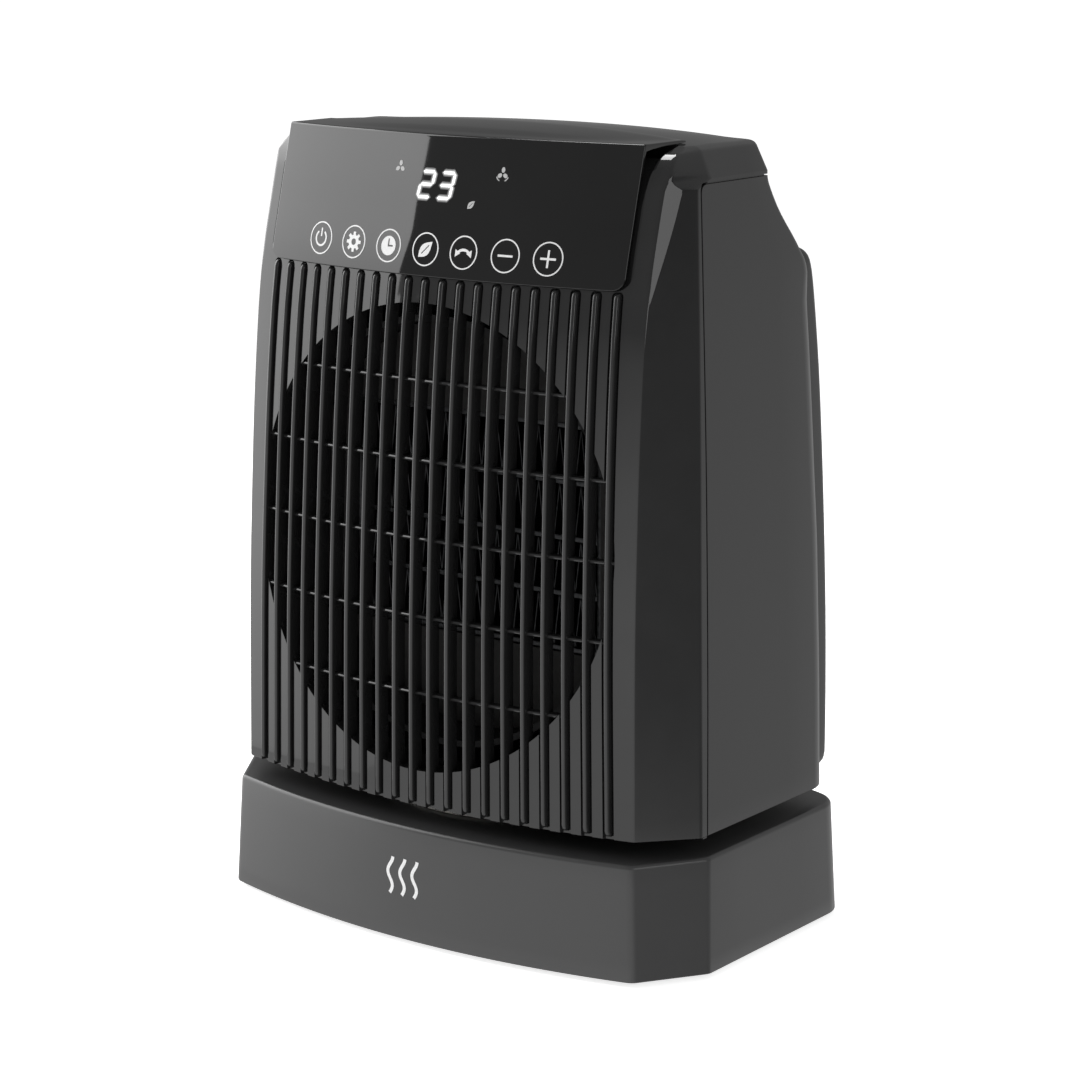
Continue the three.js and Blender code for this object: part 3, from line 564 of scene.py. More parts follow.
def inset(points, distance):
    """Outline moved inwards; the points run anticlockwise."""
    n = len(points)
    out = []
    for i, p in enumerate(points):
        a = p - points[i - 1]
        b = points[(i + 1) % n] - p
        na = Vector((-a.y, a.x)).normalized()
        nb = Vector((-b.y, b.x)).normalized()
        mid = na + nb
        out.append(p + mid * (distance / (1 + na.dot(nb))))
    return out


def at(points, z):
    return [(p[0], p[1], z) for p in points]


def body_solid(deep=0.0):
    """Outer envelope of the housing, or the same moved inwards by deep all over."""
    if deep:
        levels = [56, 80, 110, 140, 170, 200, 230, 250, 262, 268, 273, 280, 288, 296, 301.5, 303.4, 305.85,
                  307.6, 309.5, 312, 314.5]
        rings = []
        for i, z in enumerate(levels):
            height = BODY_Z0 - 1 if i == 0 else z - (deep if z > SHOULDER["from"] else 0)
            rings.append(at(inset(mirrored(body_half(z)), deep), height))
        return lofted(rings)
    foot = mirrored(body_half(56))
    rings = [at(inset(foot, draw), BODY_Z0 + rise) for draw, rise in ((0.9, 0), (0.45, 0.12), (0.12, 0.45))]
    levels = [57 + 7 * i for i in range(30)]
    levels += [264, 267, 270, 273, 276.5, 280, 284, 288, 292, 296, 299.5, 301, 302.5, 303.3, 304.2, 305,
               305.85, 306.7, 307.6, 308.9, 310.7, 312.4, 313.8, ROUND_FROM]
    rings += [at(mirrored(body_half(z)), z) for z in levels]
    rim = mirrored(body_half(BODY_TOP))
    middle = Vector((0, sum(p.y for p in rim) / len(rim)))

    def dome(k):
        ring = []
        for p in rim:
            q = middle + (p - middle) * k
            ring.append((q.x, q.y, max(crown(q.x, q.y), BODY_TOP + 0.15)))
        return ring

    below, edge, above = rings[-1], at(rim, BODY_TOP), dome(0.972)
    for t in (0.12, 0.25, 0.38, 0.5, 0.62, 0.75, 0.88, 1.0):
        rings.append([tuple(a * (1 - t) ** 2 + b * 2 * t * (1 - t) + c * t * t for a, b, c in zip(*points))
                      for points in zip(below, edge, above)])
    rings += [dome(k) for k in (0.965, 0.94, 0.88, 0.8, 0.68, 0.52, 0.34, 0.16, 0.04)]
    return lofted(rings)


def seam_line(shift):
    """Parting line (y, z) of the side, moved sideways by shift."""
    line = [Vector((seam_y(z) + shift, z)) for z in [40] + [56 + 8 * i for i in range(31)]]
    corner = Vector((seam_y(301) + shift, SEAM_Z - shift))
    line += softened(line[-1], corner, corner + Vector((20, 0)), 3.6, 8)
    return line + [Vector((90, SEAM_Z - shift))]


def seam_block(front):
    """Everything before the parting line, or everything behind and under it."""
    line = seam_line(-SEAM_HALF if front else SEAM_HALF)
    far = [(90, 340), (-120, 340), (-120, 40)] if front else [(90, 40)]
    return prism(line + far, -PAST, PAST, "x")


def seam_tongue(slack):
    """Tongue inside the wall that closes the parting line; slack widens it into the groove it sits in."""
    skin = carved(body_solid(TONGUE["outer"] - slack), body_solid(TONGUE["inner"] + slack))
    strip = seam_line(-TONGUE["root"]) + seam_line(TONGUE["reach"] + slack)[::-1]
    return shared(skin, prism(strip, -PAST, PAST, "x"))


def ellipse(rx, rz, steps=144):
    return [(rx * cos(2 * pi * i / steps), OUTLET_Z + rz * sin(2 * pi * i / steps))
            for i in range(steps)]


def rib_x(index, z):
    """Where a fin stands at height z; the fins draw together towards the top."""
    return (index - (RIB["count"] - 1) / 2) * (RIB["low"] + (RIB["high"] - RIB["low"]) * (z - 56) / 208)


def rib_slots():
    """Shallow grooves that the fins stand in: round at the top, open at the bottom."""
    half = RIB["half"] + SLOT["side"]
    top, bottom = RIB["z1"] + SLOT["end"] - half, RIB["z0"] - SLOT["open"]
    slots = []
    for index in range(RIB["count"]):
        outline = arc(rib_x(index, top), top, half, 0, 180, 9)
        outline += arc(rib_x(index, bottom), bottom, half, 180, 360, 9)
        slots.append(prism(outline, -PAST, -20, "y"))
    return carved(merged(*slots), body_solid(SLOT["deep"]))


def rib(index):
    """One fin: flat sides with a little draft and a round nose, its ends rounded down to the face."""
    z0, z1 = RIB["z0"], RIB["z1"]
    proud, reach, nose_r = RIB["proud"], RIB["end"], RIB["nose"]
    round_end = [(reach * (1 - cos(radians(a))), proud * sin(radians(a)))
                 for a in (6, 22, 40, 60, 90)]
    ends = [(z0 + rise, out) for rise, out in round_end]
    ends += [(66 + 14 * i, proud) for i in range(14)]
    ends += [(z1 - rise, out) for rise, out in reversed(round_end)]
    rings = []
    for z, out in ends:
        x = rib_x(index, z)
        face = -front_depth(z) + sag(x)
        ring = [(x - RIB["half"], face + RIB["deep"], z), (x - RIB["half"] - 0.03, face, z)]
        ring += at(arc(x, face - (out - nose_r), nose_r, 180, 360, 8), z)
        ring += [(x + RIB["half"] + 0.03, face, z), (x + RIB["half"], face + RIB["deep"], z)]
        rings.append(ring)
    return lofted(rings)


def bar(index):
    """One cross bar behind the fins, slim with a round front."""
    z = OUTLET_Z + BAR["rise"] + (index - (BAR["count"] - 1) / 2) * BAR["pitch"]
    reach = (OUTLET_RX + 1.4) * sqrt(1 - ((z - OUTLET_Z) / (OUTLET_RZ + 1.4)) ** 2)
    middle = (BAR["front"] + BAR["back"]) / 2
    deep = (BAR["back"] - BAR["front"]) / 2
    rings = []
    for j in range(33):
        x = -reach + 2 * reach * j / 32
        face = -front_depth(z) + sag(x)
        rings.append([(x, face + middle + deep * cos(a), z + BAR["half"] * sin(a))
                      for a in [2 * pi * i / 12 for i in range(12)]])
    return lofted(rings)


def panel_bed():
    """Shallow recess that the control panel sits in, a little wider than the panel."""
    half, low, radius = PANEL["half"] + BED["side"], PANEL["z0"] - BED["low"], PANEL["corner"] + BED["side"]
    outline = [(-half, 340), (half, 340)]
    outline += arc(half - radius, low + radius, radius, 0, -90, 9)
    outline += arc(radius - half, low + radius, radius, -90, -180, 9)
    return carved(prism(outline, -PAST, -20, "y"), body_solid(BED["deep"]))


def front_shell():
    shell = carved(body_solid(), body_solid(WALL))
    shared(shell, seam_block(True))
    joined(shell, seam_tongue(0))
    wider = COLLAR["wider"]
    collar = prism(ellipse(OUTLET_RX + wider, OUTLET_RZ + wider), -90, DUCT_LO.y - COLLAR["gap"], "y")
    shared(collar, body_solid())
    joined(shell, collar)
    carved(shell, prism(ellipse(OUTLET_RX, OUTLET_RZ), -PAST, 0, "y"))
    carved(shell, panel_bed())
    carved(shell, rib_slots())
    carved(shell, block(*WINDOW))
    joined(shell, merged(*[rib(i) for i in range(RIB["count"])]))
    joined(shell, merged(*[bar(i) for i in range(BAR["count"])]))
    return piece(shell, "front_housing", "housing", "shell_plastic", ["front_shell", "outlet_grille"])


def rear_shell():
    shell = carved(body_solid(), body_solid(WALL))
    shared(shell, seam_block(False))
    carved(shell, seam_tongue(0.1))
    plan = inset(mirrored(body_half(58)), WALL - FLOOR["overlap"])
    floor = lofted([at(plan, FLOOR["z0"]), at(plan, FLOOR["z1"])])
    shared(floor, block(-PAST, PAST, FLOOR["front"], PAST, 50, 70))
    carved(floor, prism(disc(0, 0, SPINDLE_HOLE, 64), 50, 64))
    joined(shell, floor)
    carved(shell, block(*INTAKE))
    return piece(shell, "rear_housing", "housing", "shell_plastic", ["rear_shell"], SATIN)


# ---------------- control panel
def panel_face(z):
    """Depth of the panel's outer face on the middle line."""
    return -front_depth(z) - PANEL["proud"]


def panel_section(x):
    """Section of the panel at x: up its front, over the fold, back over the lid, and inside again."""
    half, corner = PANEL["half"], PANEL["corner"]
    over = min(max(0.0, abs(x) - (half - corner)), corner)
    low = PANEL["z0"] + corner - sqrt(corner * corner - over * over)
    high = PANEL["front_top"]
    s = sag(x)
    rim = min(1.0, max(0.0, (abs(x) - (half - PANEL["edge"])) / PANEL["edge"]))
    pull = PANEL["edge"] * (1 - sqrt(1 - rim * rim))
    fold = 0.9

    def face(z):
        return panel_face(z) + s + pull

    def inner(z):
        return panel_face(z) + PANEL["thick"] + s

    outline = [(face(low) + 0.7, low), (face(low) + 0.2, low + 0.08), (face(low + 0.3), low + 0.3),
               (face(low + 0.55), low + 0.55)]
    for i in range(1, 12):
        z = low + 0.55 + (high - fold - low - 0.55) * i / 12
        outline.append((face(z), z))
    outline += [(face(z), z) for z in (high - fold - 0.4, high - fold)]
    for degrees in (22, 45, 67, 90):
        a = radians(degrees)
        outline.append((face(high - fold) + fold * (1 - cos(a)),
                        high - fold + fold * sin(a) - pull * 0.6))
    start = outline[-1][0]
    end = PANEL["rear"] - s
    for i in range(1, 11):
        y = start + (end - start) * i / 10
        lift = max(crown(x, y) + 1.15, high) - high
        outline.append((y, high + lift * min(1.0, i / 3) - pull * 0.6 - (0.25 if i == 10 else 0)))
    lid = []
    for i in range(10, 0, -1):
        y = start + 1.2 + (end - start - 1.2) * i / 10
        lid.append((y, max(crown(x, y) + 0.35, 316.6)))
    back = [(inner(z), z) for z in [low + (high - 2.6 - low) * i / 8 for i in range(8, -1, -1)]]
    outline += [(y, min(z, high - 0.75) if y < -20 else z) for y, z in lid] + back
    return [(x, y, z) for y, z in outline]


def control_panel():
    half, corner, edge = PANEL["half"], PANEL["corner"], PANEL["edge"]
    right = [0, 10, 20, 30, 40, 50, 60, 70, 77, half - corner]
    right += [half - corner * (1 - sin(radians(a))) for a in (12, 24, 36, 48, 60)]
    right += [half - edge * (1 - sin(radians(a))) for a in (0, 30, 55, 75, 90)]
    xs = [-x for x in right[:0:-1]] + right
    panel = lofted([panel_section(x) for x in xs])
    return piece(panel, "touch_panel", "housing", "panel_gloss", ["control_panel"])


# ---------------- marks on the panel and the base
def thin(loops, place, lift=0.03, thick=0.05):
    """Thin closed solid from flat loops (the first is the outside, the rest are holes)."""
    flat = [[Vector((u, v, 0)) for u, v in loop] for loop in loops]
    points = [p for loop in flat for p in loop]
    n = len(points)
    verts = [place(p.x, p.y, lift + thick) for p in points] + [place(p.x, p.y, lift) for p in points]
    faces = []
    for tri in tessellate_polygon(flat):
        faces.append(list(tri))
        faces.append([i + n for i in reversed(tri)])
    start = 0
    for loop in flat:
        for i in range(len(loop)):
            a, b = start + i, start + (i + 1) % len(loop)
            faces.append([a, b, b + n, a + n])
        start += len(loop)
    return solid(verts, faces)


def stroke(points, width):
    """Outline of a line of some width along the points."""
    left, right = [], []
    for i, p in enumerate(points):
        a = Vector(points[max(0, i - 1)])
        b = Vector(points[min(len(points) - 1, i + 1)])
        d = (b - a).normalized() * width / 2
        left.append((p[0] - d.y, p[1] + d.x))
        right.append((p[0] + d.y, p[1] - d.x))
    return left + right[::-1]


def ring_mark(cx, cy, r, width):
    return [disc(cx, cy, r + width / 2, 56), disc(cx, cy, r - width / 2, 56)[::-1]]


def power_mark(cx, cy):
    return [[stroke(arc(cx, cy, 2.9, 125, 415, 32), 0.75)], [stroke([(cx, cy + 0.6), (cx, cy + 3.9)], 0.75)]]


def gear_mark(cx, cy):
    teeth = []
    for k in range(8):
        for off, r in ((-14, 2.7), (-9, 3.9), (9, 3.9), (14, 2.7)):
            a = radians(45 * k + off)
            teeth.append((cx + r * cos(a), cy + r * sin(a)))
    return [[teeth, disc(cx, cy, 1.25, 24)[::-1]]]


def clock_mark(cx, cy):
    hands = [(cx - 0.35, cy + 2.7), (cx - 0.35, cy - 0.35), (cx + 2.3, cy - 0.35), (cx + 2.3, cy + 0.35),
             (cx + 0.35, cy + 0.35), (cx + 0.35, cy + 2.7)]
    return [[disc(cx, cy, 3.7, 48), hands]]


def leaf(cx, cy, size):
    """A leaf with its midrib: up one edge to the tip and down the other."""
    blade = []
    for i in range(28):
        t = 1 - abs(1 - i / 14)
        bow = 0.62 * size * sin(pi * t)
        out, up = (-1, 0.75) if i < 15 else (0.75, -1)
        blade.append((cx + size * (2 * t - 1) + out * bow, cy + size * (2 * t - 1) + up * bow))
    rib_hole = [(cx - 0.62 * size, cy - 0.52 * size), (cx - 0.52 * size, cy - 0.62 * size),
                (cx + 0.58 * size, cy + 0.48 * size), (cx + 0.48 * size, cy + 0.58 * size)]
    return [blade, rib_hole[::-1]]


def swing_mark(cx, cy):
    """Two-headed arrow bent over an arc."""
    shaft = stroke(arc(cx, cy - 2.6, 3.6, 40, 140, 20), 1.0)
    heads = []
    for side in (-1, 1):
        x, y = cx + side * 2.9, cy - 0.4
        heads.append([[(x - side * 1.5, y + 0.1), (x + side * 0.9, y + 1.5), (x + side * 0.9, y - 1.4)]])
    return [[shaft]] + heads


def minus_mark(cx, cy):
    return [[[(cx - 3.3, cy - 0.4), (cx + 3.3, cy - 0.4), (cx + 3.3, cy + 0.4), (cx - 3.3, cy + 0.4)]]]


def plus_mark(cx, cy):
    w, r = 0.42, 3.3
    return [[[(cx - w, cy - r), (cx + w, cy - r), (cx + w, cy - w), (cx + r, cy - w), (cx + r, cy + w),
              (cx + w, cy + w), (cx + w, cy + r), (cx - w, cy + r), (cx - w, cy + w), (cx - r, cy + w),
              (cx - r, cy - w), (cx - w, cy - w)]]]


def fan_mark(cx, cy, size, drops=False):
    """Three-bladed fan, with a bracket under it where it stands for heat."""
    marks = []
    for k in range(3):
        a = 90 + 120 * k
        bx = cx + size * 0.62 * cos(radians(a))
        by = cy + size * 0.62 * sin(radians(a))
        blade = []
        for i in range(18):
            b = 2 * pi * i / 18
            u, v = size * 0.46 * cos(b), size * 0.34 * sin(b)
            c, s = cos(radians(a)), sin(radians(a))
            blade.append((bx + u * c - v * s, by + u * s + v * c))
        marks.append([blade])
    if drops:
        marks.append([stroke(arc(cx, cy, size * 1.25, 205, 245, 8), 0.4)])
        marks.append([stroke(arc(cx, cy, size * 1.25, 295, 335, 8), 0.4)])
    return marks


def digit_mark(cx, cy, lit, halo=0.0):
    """Seven-segment numeral, leaning right; lit names its segments and halo fattens them."""
    w, h, t = 5.9, 10.6, 1.0 + 2 * halo
    gap = 0.2 - halo
    lean = 0.14

    def bar_h(y):
        x0, x1, e = -w / 2 + gap, w / 2 - gap, t / 2
        return [(x0, y), (x0 + e, y - e), (x1 - e, y - e), (x1, y), (x1 - e, y + e), (x0 + e, y + e)]

    def bar_v(x, y0, y1):
        e = t / 2
        return [(x, y0 + gap), (x + e, y0 + e + gap), (x + e, y1 - e - gap), (x, y1 - gap),
                (x - e, y1 - e - gap), (x - e, y0 + e + gap)]

    half = h / 2 - 0.5
    bars = {"a": bar_h(half), "g": bar_h(0), "d": bar_h(-half), "b": bar_v(w / 2, 0, half),
            "c": bar_v(w / 2, -half, 0), "f": bar_v(-w / 2, 0, half), "e": bar_v(-w / 2, -half, 0)}
    return [[[(cx + x + lean * y, cy + y) for x, y in bars[s]]] for s in lit]


def on_panel(u, v, lift):
    return (u, panel_face(v) + sag(u) - lift, v)


def on_base(u, v, lift):
    slope = BASE["flare"] * (1 - (v - BASE_LO.z) / (BASE["edge"] - BASE_LO.z))
    return (u, -BASE["depth"] + sag(u) - slope - lift, v)


def marks(name, shapes, place, look, body):
    return piece(merged(*[thin(loops, place) for loops in shapes]), name, body, look=look)


# the lit number: how much each layer is fatter, its look, its lift and its name
HALOS = [(0.95, GLOW_OUT, 0.036, "display_glow_outer"), (0.5, GLOW_IN, 0.046, "display_glow_inner"),
         (0.0, LOOKS["display_light"], 0.070, "display_digits")]
NUMERALS = [(-4.7, "abged"), (5.0, "abgcd")]
NUMERAL_Z, SIGNAL_Z, ECO_Z = 300, 305.8, 293.6
KEY_Z = 275.8
KEY_X = [-57.1, -38.2, -19.3, -0.5, 17.8, 36.8, 55.3]
KEY_MARKS = [("power", power_mark), ("mode", gear_mark), ("timer", clock_mark),
             ("eco", lambda x, z: [leaf(x, z, 3.0)]), ("swing", swing_mark), ("minus", minus_mark),
             ("plus", plus_mark)]


def panel_marks():
    for x, (name, shape) in zip(KEY_X, KEY_MARKS):
        shapes = [ring_mark(x, KEY_Z, 6.1, 0.52)] + shape(x, KEY_Z)
        marks(f"mark_key_{name}", shapes, on_panel, ICON_WITH_GLOW, "housing")
    for halo, look, lift, name in HALOS:
        parts = [thin(loops, on_panel, lift, 0.006)
                 for x, lit in NUMERALS for loops in digit_mark(x, NUMERAL_Z, lit, halo)]
        piece(merged(*parts), name, "housing", "display_light", look=look)
    marks("mark_fan", fan_mark(-19.1, SIGNAL_Z, 2.3), on_panel, DIM_ICON_WITH_GLOW, "housing")
    marks("mark_heat", fan_mark(30.4, SIGNAL_Z, 2.3, True), on_panel, DIM_ICON_WITH_GLOW, "housing")
    marks("mark_eco", [leaf(18.0, ECO_Z, 1.5)], on_panel, DIM_ICON_WITH_GLOW, "housing")


def warm_waves():
    """Three rising waves, the common sign for heat, on the front of the base."""
    shapes = []
    for k in range(3):
        line = []
        for i in range(25):
            t = i / 24
            line.append((-1 + 6.2 * (k - 1) + 1.25 * sin(2 * pi * t * 1.25), 20 + 15 * t))
        shapes.append([stroke(line, 1.5)])
    marks("mark_base_heat", shapes, on_base, BASE_PRINT_WITH_GLOW, "base")


# ---------------- rear cover
def rear_surface(x, z):
    """Depth of the rear shell's outer face at x and z."""
    radius = rear_radius(z)
    cx = side_half(z) - radius
    hub = rear_depth(z) - PLAN_R
    cy = hub + sqrt((PLAN_R - radius) ** 2 - cx * cx)
    if abs(x) <= cx + radius * cx / (PLAN_R - radius):
        return rear_depth(z) - sag(x)
    return cy + sqrt(max(0.0, radius * radius - (abs(x) - cx) ** 2))


def cover_ring(z, shrink=0.0, forward=0.0):
    """Plan of the bowed rear cover at height z."""
    wide, deep = cover_half(z) - shrink, cover_depth(z) - shrink
    plan_r, gap = COVER["plan_r"], COVER["gap"]
    edge = deep - sag(wide, plan_r)
    across = [-wide + 2 * wide * i / 32 for i in range(33)]
    near = [Vector((x, rear_surface(x, z) + gap - forward)) for x in across]
    right = softened((wide, edge - 12), (wide, edge), (wide - 12, edge + 2.2), COVER["corner"], 6)
    far = [Vector((x, deep - sag(x, plan_r))) for x in [(wide - 4) * (1 - i / 12) for i in range(1, 24)]]
    left = [Vector((-p.x, p.y)) for p in reversed(right)]
    return at(near + right + far + left, z)


def slot_shape(x0, x1, z0, z1):
    """Long opening with round ends."""
    r = (z1 - z0) / 2 - 0.01
    return arc(x1 - r, (z0 + z1) / 2, r, -90, 90, 8) + arc(x0 + r, (z0 + z1) / 2, r, 90, 270, 8)


def rear_cover():
    levels = [57.5, 58, 58.6, 59.4, 60.5, 62, 64] + [70 + 9 * i for i in range(20)]
    levels += [248, 253, 257, 260, 262.5, 265, 267, 268.6, 269.8, 270.6, 271.2, 271.6, 271.85, 272]
    cover = lofted([cover_ring(z) for z in levels])
    inside = [60.2] + [64 + 9 * i for i in range(22)] + [260, 268]
    carved(cover, lofted([cover_ring(z, WALL, 3) for z in inside]))
    vents = []
    for row in range(VENT["rows"]):
        z = VENT["z0"] + VENT["pitch"] * row
        for x in (-VENT["x"], VENT["x"]):
            shape = slot_shape(x - VENT["half"], x + VENT["half"], z, z + VENT["high"])
            vents.append(prism(shape, 60, 95, "y"))
    carved(cover, merged(*vents))
    return piece(cover, "intake_cover", "housing", "shell_plastic", ["rear_grille"], SATIN)


# ---------------- base
def base_outline(grow):
    """Plan of the base, moved outwards by grow."""
    wide, half, depth = BASE["half"] + grow, BASE["front_half"] + grow, BASE["depth"] + grow
    corner = (half, -depth + sag(half))
    cheek = (wide, BASE["side"] - grow)
    nose = softened((half - 6, -depth + sag(half - 6)), corner, cheek, 2.2, 7)
    jaw = softened(corner, cheek, (wide, 20), 1.5, 5)
    rear = rear_corner(wide, depth, BASE["rear_r"], 8, 16)
    side = [jaw[-1].lerp(rear[0], i / 4) for i in range(1, 4)]
    return mirrored(bowed_front(nose[0].x, depth) + nose + jaw + side + rear)


def base_shell():
    z0, z1, edge, r = BASE_LO.z, BASE_HI.z, BASE["edge"], BASE["round"]
    flare = BASE["flare"]
    rings = [at(base_outline(flare - draw), z0 + rise) for draw, rise in ((0.5, 0), (0.15, 0.15), (0, 0.5))]
    rings += [at(base_outline(flare * (1 - k)), z0 + (edge - z0) * k) for k in (0.15, 0.3, 0.5, 0.7, 0.85, 1)]
    for degrees in (18, 36, 54, 72, 90):
        a = radians(degrees)
        rings.append(at(base_outline(-r * (1 - cos(a))), edge + (z1 - edge) * sin(a)))
    shell = lofted(rings)
    carved(shell, lofted([at(base_outline(flare - WALL), z0 - 1), at(base_outline(-WALL), z1 - 2.4)]))
    carved(shell, prism(disc(0, 0, 21, 96), z1 - 6, z1 + 2))
    carved(shell, moved(block(-9.6, 9.6, -12, 12, -6.9, 6.9), on_base_rear("switch_body")))
    carved(shell, moved(prism(disc(0, 0, 6.8, 40), -14, 14, "y"), on_base_rear("cord_gland")))
    return piece(shell, "base_moulding", "base", "base_plastic", ["base_shell"])


def skirt():
    """Turntable under the housing."""
    z0, z1, r = SKIRT_LO.z, SKIRT_HI.z, SKIRT_HI.x
    profile = [(14, z0), (20, z0), (20, 50.3), (r - 0.6, 50.3), (r - 0.15, 50.45), (r, 50.9), (r, z1 - 0.1),
               (r - 0.1, z1), (14, z1)]
    return piece(turned(profile, 160), "turntable_skirt", "housing", "inner_plastic", ["turntable"])


def feet():
    for name in ("foot_front_left", "foot_front_right", "foot_rear_left", "foot_rear_right"):
        lo, hi = box_mm(name)
        r = (hi.x - lo.x) / 2
        profile = [(0, 0.35), (2.2, 0.35), (2.5, 0), (3.6, 0), (3.9, 0.35), (5.1, 0.35), (5.4, 0),
                   (r - 0.9, 0), (r - 0.35, 0.15), (r, 0.8), (r, hi.z), (0, hi.z)]
        foot = moved(turned(profile, 64), in_plan(name))
        piece(foot, name + "_pad", "base", "foot_rubber", [name])


def screws():
    for i in range(1, 5):
        node = f"base_screw_{i}"
        lo, hi = box_mm(node)
        z = lo.z
        profile = [(0, z), (2.2, z), (2.9, z + 0.25), (3.2, z + 0.8), (3.2, z + 1.5), (1.7, z + 1.8),
                   (1.7, hi.z - 1), (0, hi.z)]
        screw = turned(profile, 40)
        for degrees in (20, 110):
            carved(screw, moved(block(-1.7, 1.7, -0.35, 0.35, z - 1, z + 0.9), turn(degrees)))
        moved(screw, in_plan(node))
        piece(screw, node + "_cross_head", "base", "steel", [node])


def gland():
    """Sleeve for the mains lead, with the flange that holds it in the wall."""
    profile = [(3.4, -10), (8.6, -10), (9, -9.6), (9, -3.3), (8.6, -2.9), (6.5, -2.9), (6.5, 2.4), (6.2, 3.1),
               (5.6, 3.7), (5.3, 4.2), (5.0, 4.4), (3.9, 4.4), (3.4, 3.9)]
    ob = moved(turned(profile, 64), turn(-90, "X"))
    moved(ob, on_base_rear("cord_gland", 1.3))
    piece(ob, "cord_gland_sleeve", "base", "foot_rubber", ["cord_gland"])


def main_switch():
    """Bezel with its well, and the rocker with its I and O."""
    place = on_base_rear("switch_body", 1.1)
    body = block(-9.2, 9.2, -13, 1.4, -6.5, 6.5)
    joined(body, block(-10.6, 10.6, 0.6, 2, -7.9, 7.9))
    carved(body, block(-8, 8, -7, 4, -5.3, 5.3))
    moved(bevelled(body, 0.3), place)
    piece(body, "switch_bezel", "base", "switch_black", ["switch_body"])
    half = 7.3

    def dip(u):
        return 0.9 + 1.2 * abs(u / half) ** 1.6

    hollow = [half * (1 - 2 * i / 24) for i in range(25)]
    key = prism([(-half, -3.2), (half, -3.2)] + [(u, dip(u)) for u in hollow], -4.9, 4.9)
    tilt = place @ Matrix.Translation((0, -1.4, 0)) @ turn(7)
    moved(bevelled(key, 0.25), tilt)
    piece(key, "switch_key", "rocker", "switch_black", ["switch_rocker"])

    def on_key(u, v, lift):
        return (u, dip(u) + lift, v)

    shapes = [ring_mark(-4.2, 0, 1.5, 0.45), [stroke([(4.2, -1.6), (4.2, 1.6)], 0.45)]]
    legend = moved(merged(*[thin(loops, on_key) for loops in shapes]), tilt)
    piece(legend, "switch_legend", "rocker", look=ICON_WITH_GLOW)


# ---------------- heating element
def fins():
    """Folded aluminium fins between the tubes that hold the ceramic stones."""
    x0, x1, y0, y1 = CORE_LO.x, CORE_HI.x, CORE_LO.y, CORE_HI.y
    z0, z1 = CORE_LO.z, CORE_HI.z
    rows, tube, rail, folds, foil, play = 4, 2.0, 2.0, 46, 0.22, 0.4
    step = (z1 - z0 - tube) / rows
    bars = [(x0, x0 + rail, z0, z1), (x1 - rail, x1, z0, z1)]
    bars += [(x0 + rail, x1 - rail, z0 + step * r, z0 + step * r + tube) for r in range(rows + 1)]
    parts = [bevelled(block(a, b, y0, y1, low, high), 0.3) for a, b, low, high in bars]
    for r in range(rows):
        low, high = z0 + step * r + tube, z0 + step * (r + 1)
        xs = [x0 + rail + play + (x1 - x0 - 2 * rail - 2 * play) * i / folds for i in range(folds + 1)]
        verts = []
        for i, x in enumerate(xs):
            z = high - 0.05 if i % 2 else low + 0.05
            corners = ((-foil, y0 + play), (foil, y0 + play), (foil, y1 - play), (-foil, y1 - play))
            verts += [(x + dx, y, z) for dx, y in corners]
        faces = [[3, 2, 1, 0], [4 * folds + k for k in range(4)]]
        for i in range(folds):
            for k in range(4):
                a, b = 4 * i + k, 4 * i + (k + 1) % 4
                faces.append([a, b, b + 4, a + 4])
        parts.append(outward(solid(verts, faces)))
    piece(merged(*parts), "heating_fins", "housing", "heater_aluminium", ["ptc_core"])


# ---------------- studio
def direction(azimuth, elevation):
    """Unit vector; azimuth 0 is straight out of the front, positive to the object's right."""
    a, e = radians(azimuth), radians(elevation)
    return Vector((sin(a) * cos(e), -cos(a) * cos(e), sin(e)))


def softbox(name, centre, towards, size, radiance):
    """Rectangular light at centre, invisible to the camera; sizes in metres."""
    data = bpy.data.lights.new(name, "AREA")
    data.shape = "RECTANGLE"
    data.size, data.size_y = size
    data.energy = radiance * pi * size[0] * size[1]
    aim = (towards - centre).to_track_quat("-Z", "Y").to_matrix().to_4x4()
    ob = linked(name, data, Matrix.Translation(centre) @ aim)
    ob.visible_camera = False
    return ob


def fade_down(light, bottom_share):
    """Dim a softbox smoothly towards its lower edge."""
    light.data.use_nodes = True
    tree = light.data.node_tree
    across = add(tree, "SeparateXYZ", {0: add(tree, "NewGeometry", {}).outputs["Parametric"]})
    share = spread(tree, across.outputs["Y"], bottom_share, 1.0, 0.0, 0.55)
    feed(tree, tree.nodes["Emission"], {"Strength": share})


KEY = {"light": 3.9, "edge": -43.4, "width": 1.3, "low": -0.2, "high": 1.25, "faded": 0.1}
SIDE = {"light": 2.2, "centre": Vector((1.09, -0.33, 0.51)), "size": (0.42, 0.54)}
TOP = {"light": 9.0, "from": (-125.5, 57.2), "away": 1.3, "size": (0.42, 0.42)}
PANEL_POINT = Vector((-0.008, -0.056, 0.29))  # where the key light's edge shows in the panel
CORNER_POINT = Vector((0.0906, -0.0308, 0.3143))  # the bright strip beside the panel's upper corner


def studio():
    """Key light from the left, dim side light from the right, small light from above and behind."""
    centre = PANEL_POINT + direction(KEY["edge"], 0) + Vector((-0.259, 0.966, 0)) * (KEY["width"] / 2)
    centre.z = (KEY["low"] + KEY["high"]) / 2
    size = (KEY["width"], KEY["high"] - KEY["low"])
    fade_down(softbox("key", centre, centre + Vector((0.966, 0.259, 0)), size, KEY["light"]), KEY["faded"])
    right = SIDE["centre"]
    softbox("side", right, right - Vector((1, 0, 0)), SIDE["size"], SIDE["light"])
    top = CORNER_POINT + direction(*TOP["from"]) * TOP["away"]
    softbox("top", top, CORNER_POINT, TOP["size"], TOP["light"])


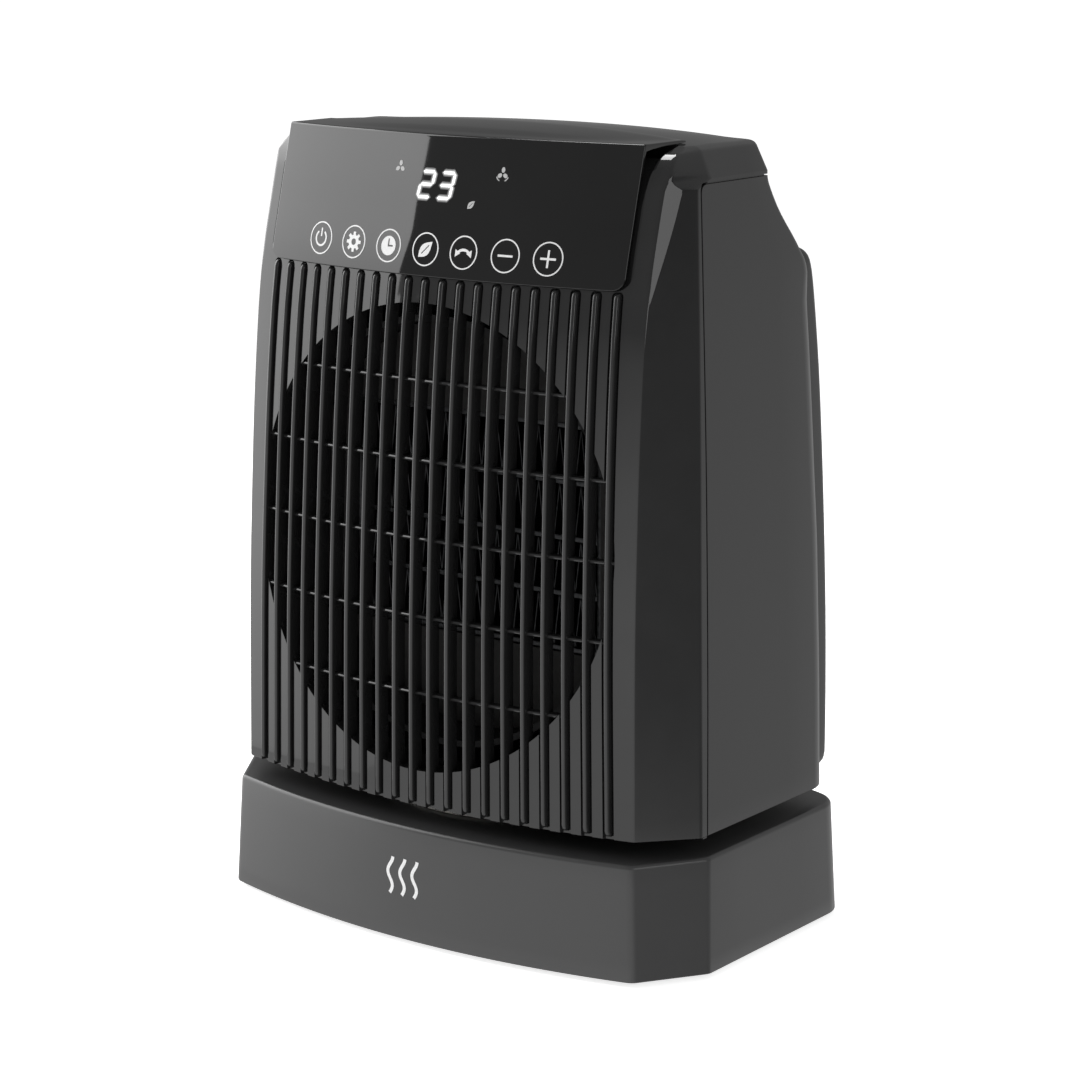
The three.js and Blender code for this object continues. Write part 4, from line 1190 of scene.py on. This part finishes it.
def surroundings():
    """Even pale light with a dimmer right side, brighter from below; the camera itself sees white."""
    world = bpy.data.worlds.new("studio")
    world.use_nodes = True
    tree = world.node_tree
    way = add(tree, "SeparateXYZ", {0: add(tree, "TexCoord", {}).outputs["Generated"]})
    x, y, z = (way.outputs[axis] for axis in "XYZ")
    low = spread(tree, y, 1.35, 0.75, -0.95, 0.5)
    high = spread(tree, y, 0.36, 0.5, -0.2, 0.6)
    height = spread(tree, z, low, high, -0.16, 0.08)
    left = spread(tree, x, 0.35, 1.0, -0.55, -0.05)
    behind = spread(tree, y, 1.0, left, 0.15, 0.5)
    side = spread(tree, x, 1.0, 0.36, 0.7, 0.95)
    dimmed = combined(tree, "MULTIPLY", combined(tree, "MULTIPLY", height, side), behind)
    seen = add(tree, "LightPath", {}).outputs["Is Camera Ray"]
    pick = add(tree, "Mix", {"Factor": seen, "A": dimmed, "B": 1.0})
    feed(tree, tree.nodes["Background"], {"Strength": pick.outputs["Result"], "Color": (1, 1, 1, 1)})
    bpy.context.scene.world = world


def floor():
    """White ground that only the camera sees; the solid's numbers are metres here."""
    reach = 40
    ob = solid([(x * reach, y * reach, 0) for x, y in ((-1, -1), (1, -1), (1, 1), (-1, 1))], [[0, 1, 2, 3]])
    ob.name = "floor"
    mat, tree, shader, coords = graph("pale_floor")
    pale = tint(tree, noise(tree, coords, 400, 2.0), (0.88, 0.88, 0.88), (0.9, 0.9, 0.9))
    feed(tree, shader, {"Base Color": pale, "Roughness": 0.9, "Specular IOR Level": 0.0,
                        "Emission Color": pale, "Emission Strength": 0.85})
    ob.data.materials.append(mat)
    ob.visible_glossy = False
    ob.visible_diffuse = False
    ob.visible_shadow = False


CAMERA = {"azimuth": 37.05, "elevation": 12.45, "distance": 1.2506, "sensor_mm": 36, "lens_mm": 101.57,
          "target": Vector((0.00114, 0.00979, 0.14929))}


def camera():
    back = direction(CAMERA["azimuth"], CAMERA["elevation"])
    data = bpy.data.cameras.new("camera")
    data.sensor_width = CAMERA["sensor_mm"]
    data.lens = CAMERA["lens_mm"]
    data.clip_start = 0.05
    data.clip_end = 100
    aim = back.to_track_quat("Z", "Y").to_matrix().to_4x4()
    place = Matrix.Translation(CAMERA["target"] + back * CAMERA["distance"])
    bpy.context.scene.camera = linked("camera", data, place @ aim)


dress_frame()
front_shell()
rear_shell()
control_panel()
panel_marks()
rear_cover()
base_shell()
warm_waves()
skirt()
feet()
screws()
gland()
main_switch()
fins()
surroundings()
studio()
floor()
camera()
bpy.context.scene.view_settings.view_transform = "Standard"
